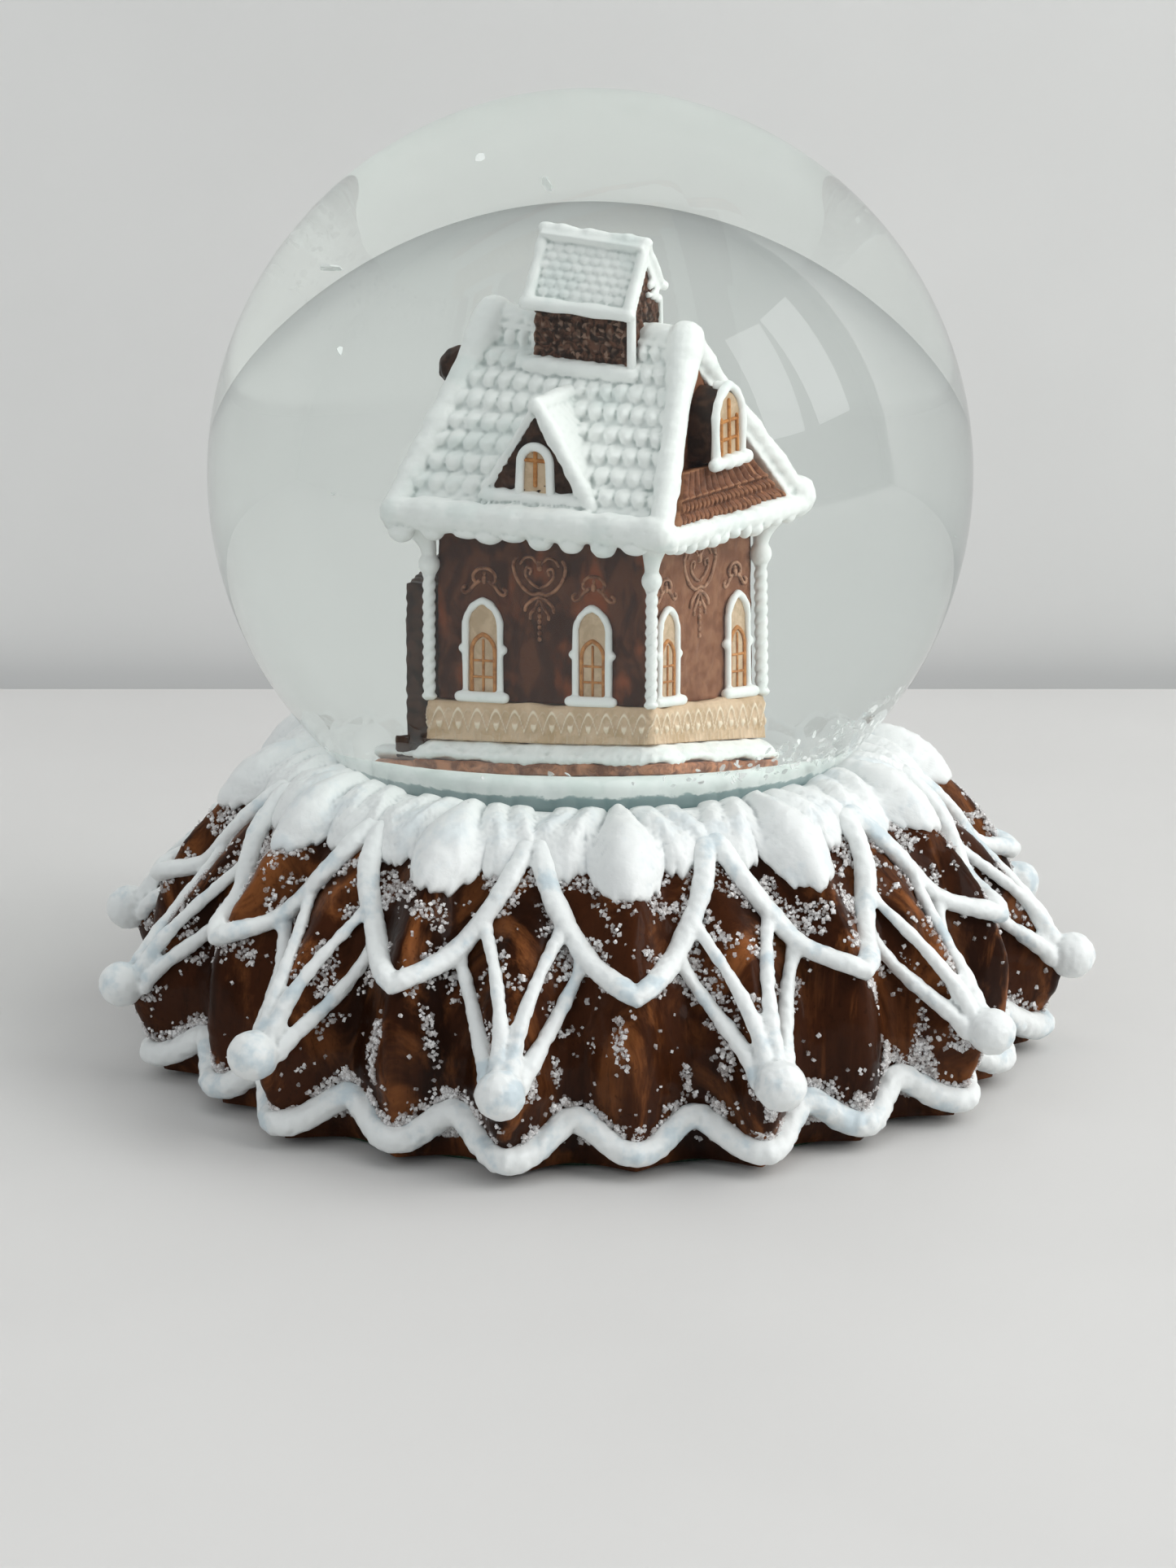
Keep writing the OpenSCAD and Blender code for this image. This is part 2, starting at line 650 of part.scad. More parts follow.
module cylinder_bearings() {
    color("silver") {
        bearing(12.6, -3, 3, [0]);
        bearing(33.45, -3, governor_y + 2.4, [0, governor_y]);
        bearing(36.1, governor_y - 2.4, governor_y + 2.4, [governor_y]);
    }
}

module cylinder_shaft() {
    color("silver") translate([8.6, 0, tune_z]) rotate([0, 90, 0])
        cylinder(h = 34.5 - 8.6, r = shaft_r, $fn = 24);
}

module tune_cylinder() {
    color("goldenrod") along_x(tune_from, tune_to - tune_from) difference() {
        circle(tune_r);
        circle(shaft_r + 0.02, $fn = 24);
    }
}

note_pitch = (tune_to - tune_from - 1.6) / (notes - 1);
function note_x(i) = tune_from + 0.8 + i * note_pitch;
module tune_pins() {
    color("goldenrod") for (i = [0:notes - 1], k = [0:3])
        translate([note_x(i), 0, tune_z]) rotate([(i * 137 + k * 90 + 20) % 360, 0, 0])
            translate([0, 0, tune_r + 0.01]) cylinder(h = 0.33, r = 0.14, $fn = 16);
}

module crown_pinion() {
    color("goldenrod") along_x(9, 2.4) difference() {
        gear_outline(crown_module, crown_pinion_teeth, 0.3, head = 0.6);
        circle(shaft_r + 0.02, $fn = 24);
    }
}

module cylinder_wheel() {
    color("goldenrod") along_x(wheel_x, 1.2) difference() {
        gear_outline(wheel_module, wheel_teeth, 0.1);
        circle(shaft_r + 0.02, $fn = 24);
    }
}

comb_z = tune_z - 0.4;
comb_screw_y = -16.6;
module at_comb_screws() {
    for (x = [tune_from + 2.5, (tune_from + tune_to) / 2, tune_to - 2.5])
        translate([x, comb_screw_y, 0]) children();
}

module comb_block() {
    color("silver") difference() {
        translate([tune_from, -20, bed_top]) cube([tune_to - tune_from, 7, comb_z - gap - bed_top]);
        at_comb_screws() translate([0, 0, comb_z - 5]) cylinder(h = 6, r = 1.05);
    }
}

// The steel comb: a plate whose teeth reach to the pins on the tune cylinder.
module comb() {
    color("lightsteelblue") difference() {
        union() {
            translate([tune_from, -20, comb_z]) cube([tune_to - tune_from, 9.5, 0.8]);
            for (i = [0:notes - 1])
                translate([note_x(i) - 0.3, -11, comb_z]) cube([0.6, 11 - tune_r - 0.45, 0.8]);
        }
        at_comb_screws() translate([0, 0, comb_z - 1]) cylinder(h = 3, r = 1.15);
    }
}

module comb_screws() {
    color("silver") at_comb_screws() {
        translate([0, 0, comb_z - 4]) cylinder(h = 5, r = 1);
        translate([0, 0, comb_z + 0.8 + gap]) cylinder(h = 1, r = 1.9);
    }
}

// The governor's first shaft: its pinion meets the cylinder's wheel, and its worm wheel turns the worm.
module governor_wheel() {
    color("ivory") {
        along_x(wheel_x, 1.2, governor_y)
            gear_outline(wheel_module, governor_pinion_teeth, 0.1, turn = 180 / governor_pinion_teeth);
        along_x(worm_wheel_x, 1, governor_y)
            gear_outline(worm_module, worm_wheel_teeth, 0.3, turn = 180 / worm_wheel_teeth);
        along_x(wheel_x - 0.2, 37 - wheel_x, governor_y) circle(shaft_r, $fn = 24);
    }
}

fly_z = 25.2;
module governor_bracket() {
    color("silver") {
        translate([worm_x - 1.5, worm_y + 3, bed_top]) cube([3, 1.2, fly_z - 0.8 - bed_top]);
        difference() {
            translate([worm_x - 1.5, worm_y - 1.2, fly_z - 0.9]) cube([3, 5.4, 0.5]);
            translate([worm_x, worm_y, fly_z - 2]) cylinder(h = 3, r = 0.5 + gap, $fn = 24);
        }
    }
}

// The worm, right-handed, and the two wings that brake it in the air.
module governor_fly() {
    worm_from = tune_z - 1.5 * worm_lead;
    thread = [for (i = [0:15])
        let (a = i * 22.5, r = 1 + 0.95 * pow((1 + cos(a)) / 2, 4)) r * [cos(a), sin(a)]];
    color("ivory") translate([worm_x, worm_y, 0]) {
        translate([0, 0, worm_from]) rotate([0, 0, 270 + 180])
            linear_extrude(3 * worm_lead, twist = -3 * 360, slices = 48) polygon(thread);
        translate([0, 0, bed_z + 0.8]) cylinder(h = 27.2 - bed_z - 0.8, r = 0.5, $fn = 24);
        translate([-2.6, -0.15, fly_z]) cube([5.2, 0.3, 1.8]);
    }
}

base_casting();
cream_garland();
petal_piping();
fan_piping();
pearls();
wave_piping();
felt_ring();
bottom_cover();
cover_screws();
globe_adhesive();
glass_globe();
neck_gasket();
stopper();
snow_ground();
liquid_fill();
snow_flakes();
house_plinth();
plinth_snow();
skirting();
house_walls();
corner_columns();
window_frames();
window_panes();
main_roof();
gable_canopy();
oriel_window();
chimney();
dormers();
dormer_roofs();
cupola_walls();
cupola_roof();
bedplate();
movement_screws();
spring_barrel();
mainspring();
winding_key();
winding_arbor();
cylinder_bearings();
tune_cylinder();
tune_pins();
cylinder_shaft();
crown_pinion();
cylinder_wheel();
comb_block();
comb();
comb_screws();
governor_wheel();
governor_bracket();
governor_fly();
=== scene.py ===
"""Looks for the musical water globe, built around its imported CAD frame.

Shapes are worked out in millimetres, in the CAD frame: +Z up, -Y towards the camera, the origin under
the globe's axis. piece() turns them into metres.
"""

import math

import bmesh
import bpy
import numpy as np
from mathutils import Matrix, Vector
from mathutils.kdtree import KDTree


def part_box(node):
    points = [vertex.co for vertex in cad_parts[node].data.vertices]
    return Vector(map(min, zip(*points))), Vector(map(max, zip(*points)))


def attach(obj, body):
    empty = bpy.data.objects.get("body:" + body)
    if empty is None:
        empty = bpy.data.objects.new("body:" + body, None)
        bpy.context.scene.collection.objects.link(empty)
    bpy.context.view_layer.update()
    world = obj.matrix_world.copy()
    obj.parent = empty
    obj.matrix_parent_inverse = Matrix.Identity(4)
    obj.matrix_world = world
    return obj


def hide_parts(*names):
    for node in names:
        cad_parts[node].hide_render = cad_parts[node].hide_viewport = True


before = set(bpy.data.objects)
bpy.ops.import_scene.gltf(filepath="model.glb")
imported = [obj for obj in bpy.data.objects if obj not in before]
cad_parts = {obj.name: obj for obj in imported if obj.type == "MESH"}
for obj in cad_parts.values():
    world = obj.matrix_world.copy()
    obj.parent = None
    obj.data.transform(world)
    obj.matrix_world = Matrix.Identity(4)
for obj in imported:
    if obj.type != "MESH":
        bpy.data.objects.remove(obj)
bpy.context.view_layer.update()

MM = 0.001
TAU = 2 * math.pi

# ---------- Sizes shared with the CAD model, in millimetres ----------

GLOBE_R = 50.0
GLASS_T = 2.0
GLASS_IOR, LIQUID_IOR = 1.5, 1.333
GLOBE_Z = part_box("glass_globe")[1].z / MM - GLOBE_R
NECK_R = 33.0
NECK_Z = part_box("glass_globe")[0].z / MM
RING = np.array([36.0, 39.0])          # radius and height of the ring under the cream
SEAT_R, SEAT_Z = 33.5, 30.4
CAVITY_R, CAVITY_TOP = 42.5, 28.2
COVER_R, COVER_TOP = 48.0, 11.05
GAP = 0.8                              # height of the skirt's hem above the table
FOLDS = 12
PITCH = 360.0 / FOLDS                  # degrees from one pearl to the next
FOLD_TURN = -9.5                       # degrees from the front to the first pearl
GROUND_R, GROUND_Z = 30.5, 46.0

# The house: _S is measured along its ridge and _T across it, both from its middle, and _Z up from the table.
HOUSE_TURN = math.radians(28)
HOUSE_AT = np.array([0.2, -3.0, 0.0])
WALL_S, WALL_T = 12.2, 10.2
SKIRTING_S, SKIRTING_T = 13.15, 11.15
SKIRTING_Z, WALL_Z = 49.8, 54.1        # the foot of each
RIDGE_S, EAVE_S, EAVE_T = 11.55, 16.3, 14.4
RIDGE_Z, EAVE_Z = 92.2, 73.4
ROOF_DROP = 3.3                        # from the ridge down to the walls' own peak
ROOF_RISE = (RIDGE_Z - EAVE_Z) / EAVE_T
WINDOW_Z = 54.6
WINDOWS_S, WINDOWS_T = (-7.0, 5.6), (-6.7, 7.1)
CUPOLA_S, CUPOLA_TOP = 0.5, 101.7
DORMER_T = 12.5


# ---------- Numbers and noise ----------

def lumps(points, size, seed, layers=12):
    """Smooth random waves, about size mm across and mostly between -1 and 1."""
    random = np.random.default_rng(seed)
    waves = random.normal(size=(layers, 3))
    waves *= TAU / size / np.linalg.norm(waves, axis=1, keepdims=True)
    waves *= random.uniform(0.6, 1.6, (layers, 1))
    phases = random.uniform(0, TAU, layers)
    return np.sin(np.asarray(points) @ waves.T + phases).sum(-1) / math.sqrt(layers)


def smooth_step(x, low, high):
    t = np.clip((x - low) / (high - low), 0, 1)
    return t * t * (3 - 2 * t)


def unit(vectors):
    """Vectors along the last axis, scaled to a length of 1."""
    return vectors / np.linalg.norm(vectors, axis=-1, keepdims=True)


def spline(points, steps=10):
    """A smooth path through the points."""
    p = np.asarray(points, float)
    p = np.vstack([2 * p[0] - p[1], p, 2 * p[-1] - p[-2]])
    t = np.linspace(0, 1, steps, endpoint=False)[:, None]
    out = []
    for a, b, c, d in zip(p[:-3], p[1:-2], p[2:-1], p[3:]):
        out.append(0.5 * (2 * b + (c - a) * t + (2 * a - 5 * b + 4 * c - d) * t**2
                          + (3 * b - a - 3 * c + d) * t**3))
    return np.vstack(out + [p[-2:-1]])


# ---------- Shapes, as points and faces ----------

class Shapes:
    """Closed shapes, each as (points, faces), gathered into one mesh."""

    def __init__(self):
        self.points, self.faces, self.count = [], [], 0

    def add(self, shape):
        points, faces = shape
        points = np.asarray(points, float).reshape(-1, 3)
        self.points.append(points)
        self.faces += [tuple(int(i) + self.count for i in face) for face in faces]
        self.count += len(points)
        return self

    def merged(self):
        return np.vstack(self.points), self.faces


def grid_faces(rows, columns, wrap_rows=False, wrap_columns=False):
    r = np.arange(rows if wrap_rows else rows - 1)
    c = np.arange(columns if wrap_columns else columns - 1)
    r, c = np.meshgrid(r, c, indexing="ij")
    r2, c2 = (r + 1) % rows, (c + 1) % columns
    quads = np.stack([r * columns + c, r2 * columns + c, r2 * columns + c2, r * columns + c2], -1)
    return quads.reshape(-1, 4).tolist()


def capped(rings):
    """Points and faces of a closed body from rings of points, with a middle point at each end."""
    rings = np.asarray(rings, float)
    rows, columns = rings.shape[:2]
    faces = grid_faces(rows, columns, wrap_columns=True)
    first, last = rows * columns, rows * columns + 1
    base = (rows - 1) * columns
    for c in range(columns):
        d = (c + 1) % columns
        faces.append([c, d, first])
        faces.append([base + d, base + c, last])
    points = np.vstack([rings.reshape(-1, 3), rings[0].mean(0), rings[-1].mean(0)])
    return points, faces


def sheet(top, bottom):
    """A closed slab between two grids of points of the same size."""
    rows, columns = top.shape[:2]
    n = rows * columns
    faces = grid_faces(rows, columns)
    faces += [[n + i for i in reversed(face)] for face in grid_faces(rows, columns)]
    edge = ([c for c in range(columns)] + [r * columns + columns - 1 for r in range(1, rows)]
            + [(rows - 1) * columns + c for c in range(columns - 2, -1, -1)]
            + [r * columns for r in range(rows - 2, 0, -1)])
    for a, b in zip(edge, edge[1:] + edge[:1]):
        faces.append([a, b, n + b, n + a])
    return np.vstack([top.reshape(-1, 3), bottom.reshape(-1, 3)]), faces


def tube(path, radius, sides=12, closed=False, up=(0, 0, 1), flat=1.0):
    """A round line along a path. Its ends are rounded off, and flat squashes it along up."""
    path = np.asarray(path, float)
    radius = np.broadcast_to(np.asarray(radius, float), len(path)).copy()
    if closed:
        along = np.roll(path, -1, 0) - np.roll(path, 1, 0)
    else:
        along = np.gradient(path, axis=0)
        start, end = unit(path[0] - path[1]), unit(path[-1] - path[-2])
        bow = np.array([1.0, 0.85, 0.5])
        left = path[0] + start * radius[0] * bow[:, None]
        right = path[-1] + end * radius[-1] * bow[::-1, None]
        path = np.vstack([left, path, right])
        tip = np.sqrt(1.0001 - bow**2)
        radius = np.concatenate([radius[0] * tip, radius, radius[-1] * tip[::-1]])
        along = np.vstack([np.repeat(along[:1], 3, 0), along, np.repeat(along[-1:], 3, 0)])
    along = unit(along)
    up = np.broadcast_to(np.asarray(up, float), along.shape)
    side = np.cross(along, up)
    side /= np.maximum(np.linalg.norm(side, axis=1, keepdims=True), 1e-9)
    over = np.cross(side, along)
    angle = np.linspace(0, TAU, sides, endpoint=False)
    c, s = np.cos(angle)[None, :, None], np.sin(angle)[None, :, None]
    rings = path[:, None] + radius[:, None, None] * (c * side[:, None] + flat * s * over[:, None])
    if closed:
        return rings.reshape(-1, 3), grid_faces(len(path), sides, True, True)
    return capped(rings)


def ball(centre, radii, segments=20, rings=12):
    """An ellipsoid. radii is one number, or three."""
    radii = np.broadcast_to(np.asarray(radii, float), 3)
    polar = np.linspace(0, math.pi, rings + 1)[1:-1]
    around_z = np.linspace(0, TAU, segments, endpoint=False)
    p, a = np.meshgrid(polar, around_z, indexing="ij")
    points, faces = capped(np.stack([np.sin(p) * np.cos(a), np.sin(p) * np.sin(a), np.cos(p)], -1))
    points[-2], points[-1] = (0, 0, 1), (0, 0, -1)
    return points * radii + np.asarray(centre, float), faces


CUBE = np.array([[i, j, k] for i in (-1, 1) for j in (-1, 1) for k in (-1, 1)], float)
CUBE_FACES = [[0, 1, 3, 2], [4, 6, 7, 5], [0, 4, 5, 1], [2, 3, 7, 6], [0, 2, 6, 4], [1, 5, 7, 3]]


def box(low, high):
    return np.where(CUBE < 0, low, high), CUBE_FACES


def prism(first, last):
    """A closed solid between two outlines with as many points each."""
    n = len(first)
    faces = [list(range(n)), list(range(2 * n - 1, n - 1, -1))]
    faces += [[i, (i + 1) % n, n + (i + 1) % n, n + i] for i in range(n)]
    return np.vstack([first, last]), faces


def wedge(outline, low, high, axis):
    """An outline in two of the axes, drawn out along the third from low to high."""
    return prism(*(np.insert(np.asarray(outline, float), axis, end, axis=1) for end in (low, high)))


def rounded_loop(half_x, half_y, corner, step):
    """Points around a rectangle with round corners, evenly spaced, and their distance along it."""
    corner = min(corner, half_x, half_y)
    pieces = []
    for k, (cx, cy) in enumerate([(1, -1), (1, 1), (-1, 1), (-1, -1)]):
        centre = np.array([cx * (half_x - corner), cy * (half_y - corner)])
        angle = np.radians(-90 + 90 * k + np.linspace(0, 90, 9))
        pieces.append(centre + corner * np.stack([np.cos(angle), np.sin(angle)], -1))
    loop = np.vstack(pieces)
    loop = np.vstack([loop, loop[:1]])
    length = np.concatenate([[0], np.cumsum(np.linalg.norm(np.diff(loop, axis=0), axis=1))])
    count = int(length[-1] / step)
    at = np.linspace(0, length[-1], count, endpoint=False)
    return np.stack([np.interp(at, length, loop[:, 0]), np.interp(at, length, loop[:, 1])], -1), at


def raised(loop, z):
    """A flat loop's points, at height z."""
    return np.column_stack([loop, np.broadcast_to(z, len(loop))])


def slab(half_x, half_y, low, high, corner, edge, seed, step=0.35, wobble=0.14):
    """A flat slab with round corners and edges. wobble roughens its edge."""
    loop, _ = rounded_loop(half_x, half_y, corner, step)
    centre_in = 1 - edge / min(half_x, half_y)
    rows = [(0.0, low, 0.0), (0.6, low, 0.2), (centre_in, low, 1)]
    rows += [(1.0, low + edge, 1), (1.0, (low + high) / 2, 1), (1.0, high - edge, 1)]
    rows += [(centre_in, high, 1), (0.6, high, 0.2), (0.0, high, 0.0)]
    rings = []
    for share, z, rough in rows:
        ring = raised(loop * max(share, 1e-4), z)
        push = wobble * lumps(raised(loop, z), 4, seed) * rough
        ring[:, :2] += unit(loop) * push[:, None]
        ring[:, 2] += 0.4 * wobble * lumps(ring, 3, seed + 1) * rough
        rings.append(ring)
    return capped(rings[::-1])


# ---------- Making pieces ----------

def new_mesh(name, points, faces, scale=MM, smooth=True):
    mesh = bpy.data.meshes.new(name)
    mesh.from_pydata((np.asarray(points) * scale).tolist(), [], faces)
    mesh.polygons.foreach_set("use_smooth", [smooth] * len(mesh.polygons))
    mesh.update()
    return mesh


def recalculate(mesh):
    """Turns a closed mesh's faces outwards."""
    work = bmesh.new()
    work.from_mesh(mesh)
    bmesh.ops.recalc_face_normals(work, faces=work.faces)
    work.to_mesh(mesh)
    work.free()


def piece(name, shape, material, slot, replaces=(), smooth=True, melt=None, relax=4, push=None, sharp=None,
          place=None):
    """Makes one visible piece. shape is Shapes or (points, faces), in mm. melt is a voxel size in mm: the
    shapes then run together into one skin, which is relaxed, and push moves its points. place carries the
    shape from its own axes to the frame's."""
    points, faces = shape.merged() if isinstance(shape, Shapes) else shape
    if place:
        points = place(points)
    if melt:
        rough = bpy.data.objects.new(name + "_rough", new_mesh(name, points, faces, scale=1))
        bpy.context.scene.collection.objects.link(rough)
        modifier = rough.modifiers.new("melt", "REMESH")
        modifier.mode, modifier.voxel_size, modifier.use_smooth_shade = "VOXEL", melt, True
        if relax:
            soften = rough.modifiers.new("relax", "SMOOTH")
            soften.factor, soften.iterations = 0.5, relax
        evaluated = rough.evaluated_get(bpy.context.evaluated_depsgraph_get())
        mesh = bpy.data.meshes.new_from_object(evaluated)
        bpy.data.objects.remove(rough)
        co = np.empty(len(mesh.vertices) * 3)
        mesh.vertices.foreach_get("co", co)
        co = co.reshape(-1, 3)
        mesh.vertices.foreach_set("co", ((push(co) if push else co) * MM).ravel())
        mesh.name = name
        mesh.update()
    else:
        mesh = new_mesh(name, points, faces, smooth=smooth)
        recalculate(mesh)
    if sharp is not None:
        mesh.set_sharp_from_angle(angle=math.radians(sharp))
    obj = bpy.data.objects.new(name, mesh)
    bpy.context.scene.collection.objects.link(obj)
    mesh.materials.append(material)
    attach(obj, "base")
    if replaces:
        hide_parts(*replaces)
    return obj


def uneven(amount, size, seed):
    """A push for piece(): moves a melted skin's points by about amount mm, in lumps about size mm across."""
    return lambda co: co + amount * np.stack([lumps(co, size, seed + k) for k in range(3)], -1)


def mark(obj, name, values):
    """Stores one number per point, for the paint to read."""
    layer = obj.data.attributes.new(name, "FLOAT", "POINT")
    layer.data.foreach_set("value", np.asarray(values, np.float32))


# ---------- Materials ----------

class Paint:
    """A node material with one Principled shader, and short calls for what feeds it."""

    def __init__(self, name):
        self.material = bpy.data.materials.new(name)
        self.material.use_nodes = True
        self.tree = self.material.node_tree
        self.shader = self.tree.nodes["Principled BSDF"]
        self.output = self.tree.nodes["Material Output"]
        self.where = self.node("ShaderNodeTexCoord").outputs["Object"]

    def node(self, kind, **values):
        node = self.tree.nodes.new(kind)
        for key, value in values.items():
            setattr(node, key, value)
        return node

    def link(self, source, target):
        self.tree.links.new(source, target)

    def feed(self, target, value):
        """Links the value if it comes from a node, and sets it otherwise."""
        if hasattr(value, "links"):
            self.link(value, target)
        elif isinstance(value, tuple):
            target.default_value = (*value, 1)
        else:
            target.default_value = value

    def noise(self, size, detail=3.0, rough=0.55, stretch=None, distortion=0.0):
        """Noise whose features are about size mm across."""
        node = self.node("ShaderNodeTexNoise")
        node.inputs["Scale"].default_value = 1 / (size * MM)
        node.inputs["Detail"].default_value = detail
        node.inputs["Roughness"].default_value = rough
        node.inputs["Distortion"].default_value = distortion
        where = self.where
        if stretch:
            mapping = self.node("ShaderNodeMapping")
            mapping.inputs["Scale"].default_value = stretch
            self.link(where, mapping.inputs["Vector"])
            where = mapping.outputs["Vector"]
        self.link(where, node.inputs["Vector"])
        return node.outputs["Fac"]

    def band(self, source, low, high, to_low=0.0, to_high=1.0):
        node = self.node("ShaderNodeMapRange", interpolation_type="SMOOTHSTEP")
        for key, value in zip(("From Min", "From Max", "To Min", "To Max"), (low, high, to_low, to_high)):
            node.inputs[key].default_value = value
        self.link(source, node.inputs["Value"])
        return node.outputs["Result"]

    def mix(self, share, a, b):
        node = self.node("ShaderNodeMix", data_type="RGBA")
        for key, value in ((0, share), (6, a), (7, b)):
            self.feed(node.inputs[key], value)
        return node.outputs[2]

    def math(self, operation, a, b=0.0):
        node = self.node("ShaderNodeMath", operation=operation)
        for key, value in enumerate((a, b)):
            self.feed(node.inputs[key], value)
        return node.outputs[0]

    def attribute(self, name):
        return self.node("ShaderNodeAttribute", attribute_name=name).outputs["Fac"]

    def pointiness(self):
        return self.node("ShaderNodeNewGeometry").outputs["Pointiness"]

    def set(self, **values):
        """Feeds the shader. Roughness stands for the socket "Roughness", and Base_Color for "Base Color"."""
        for key, value in values.items():
            self.feed(self.shader.inputs[key.replace("_", " ")], value)

    def colour(self, value):
        self.set(Base_Color=value)

    def bump(self, *layers):
        """layers are (height source, depth in mm)."""
        normal = None
        for source, depth in layers:
            node = self.node("ShaderNodeBump")
            node.inputs["Distance"].default_value = depth * MM
            self.link(source, node.inputs["Height"])
            if normal is not None:
                self.link(normal, node.inputs["Normal"])
            normal = node.outputs["Normal"]
        self.set(Normal=normal)

    def see_through(self, share, shader, tint=(1.0, 1.0, 1.0)):
        """Shows the shader, and what lies behind it where share is 1."""
        clear, blend = self.node("ShaderNodeBsdfTransparent"), self.node("ShaderNodeMixShader")
        self.feed(clear.inputs["Color"], tint)
        for key, value in enumerate((share, shader, clear.outputs[0])):
            self.link(value, blend.inputs[key])
        self.link(blend.outputs[0], self.output.inputs["Surface"])


def icing_paint(name, white, shade, crease_shade_colour, rough=0.38):
    """White glaze: blotches of thin bluish paint, greyer in the creases with painted shade, and a soft gloss.
    """
    p = Paint(name)
    blotch = p.band(p.noise(6, 4, 0.6), 0.5, 0.66)
    body = p.mix(blotch, white, shade)
    # Painted shade: the creases are mixed in patches towards the last colour.
    crease_shade = p.band(p.pointiness(), 0.44, 0.505, 1.0, 0.0)
    painted_shade = p.math("MULTIPLY", crease_shade, p.band(p.noise(2.5), 0.3, 0.7, 0.35, 1.0))
    p.colour(p.mix(painted_shade, body, crease_shade_colour))
    p.set(Roughness=p.band(p.noise(1.2), 0.2, 0.8, rough - 0.1, rough + 0.15), Subsurface_Weight=0.15,
          Coat_Weight=0.25, Coat_Roughness=0.3)
    p.shader.inputs["Subsurface Radius"].default_value = (1, 1, 1)
    p.set(Subsurface_Scale=0.6 * MM)
    p.bump((p.noise(2.2, 3), 0.12), (p.noise(0.5, 2), 0.03))
    return p.material


def gingerbread_paint():
    """Dark glazed gingerbread, worn to orange brown in streaks, under a clear coat. The orange brown is wear
    and painted
    highlight: it keeps mostly to the fold crests, which leaves painted shade in the hollows.
    """
    p = Paint("gingerbread_glaze")
    dark, mid, worn_and_lit_brown = (0.013, 0.004, 0.0015), (0.046, 0.0135, 0.0045), (0.29, 0.1, 0.03)
    streaks = p.noise(14, 5, 0.6, stretch=(1, 1, 0.3), distortion=0.5)
    body = p.mix(p.band(streaks, 0.36, 0.6), dark, mid)
    worn = p.band(p.noise(9, 5, 0.62, stretch=(1, 1, 0.4), distortion=1.2), 0.47, 0.68)
    # Painted highlight on the fold crests and painted shade in the hollows, by way of the ridge mark.
    ridge = p.math("MAXIMUM", p.math("MULTIPLY", p.attribute("ridge"), 0.8), 0.32)
    body = p.mix(p.math("MULTIPLY", worn, ridge), body, worn_and_lit_brown)
    grain = p.noise(0.7, 4, 0.7, stretch=(1, 1, 0.12), distortion=0.3)
    body = p.mix(p.band(grain, 0.5, 0.75, 0.0, 0.45), body, dark)
    specks = p.band(p.noise(0.8, 2), 0.64, 0.72, 0.0, 0.4)
    p.colour(p.mix(specks, body, (0.014, 0.005, 0.002)))
    p.set(Roughness=p.band(p.noise(5, 4), 0.3, 0.7, 0.35, 0.55), Coat_Weight=0.12,
          Coat_Roughness=p.band(p.noise(3, 3), 0.3, 0.7, 0.04, 0.12), Specular_IOR_Level=0.06)
    p.bump((p.noise(5, 3, stretch=(1, 1, 0.4)), 0.35), (p.noise(0.9, 3), 0.05))
    return p.material


def sugar_paint():
    """Clear sugar grains, each a little different: the brown shows through them, and their faces glint."""
    p = Paint("sugar_grains")
    own = p.node("ShaderNodeNewGeometry").outputs["Random Per Island"]
    tone = p.mix(p.band(p.noise(1.1, 2), 0.35, 0.65), (0.72, 0.68, 0.66), (0.95, 0.94, 0.94))
    p.colour(p.mix(p.band(own, 0.6, 1.0), tone, (1.0, 1.0, 1.0)))
    p.set(Roughness=p.band(own, 0.0, 1.0, 0.08, 0.4), Coat_Weight=0.3, Coat_Roughness=0.03,
          Alpha=p.band(own, 0.1, 1.0, 0.25, 0.8))
    p.bump((p.noise(0.2, 1), 0.02))
    return p.material


def painted(name, dark, light, size, rough=0.5, low=0.35, high=0.65, depth=0.06, crease_shade=None, raised=None,
            relief_highlight=None):
    """Hand painted resin: two mixed tones, brush marks and a fine grain. The colour for creases is painted
    shade in its hollows, the colour for raised parts is painted highlight on its edges, and the last colour
    is painted highlight on the pattern that the piece marks."""
    p = Paint(name)
    body = p.mix(p.band(p.noise(size, 4, 0.6, distortion=0.6), low, high), dark, light)
    # Painted shade in the hollows, then painted highlight on the edges and on the marked pattern.
    if crease_shade is not None:
        body = p.mix(p.band(p.pointiness(), 0.42, 0.5, 0.9, 0.0), body, crease_shade)
    if raised is not None:
        body = p.mix(p.band(p.pointiness(), 0.505, 0.57, 0.0, 0.85), body, raised)
    if relief_highlight is not None:
        body = p.mix(p.band(p.attribute("relief_highlight"), 0.3, 0.85, 0.0, 0.9), body, relief_highlight)
    p.colour(body)
    p.set(Roughness=p.band(p.noise(1.5, 3), 0.25, 0.75, rough - 0.12, rough + 0.12), Specular_IOR_Level=0.25)
    p.bump((p.noise(0.7, 3), depth))
    return p.material


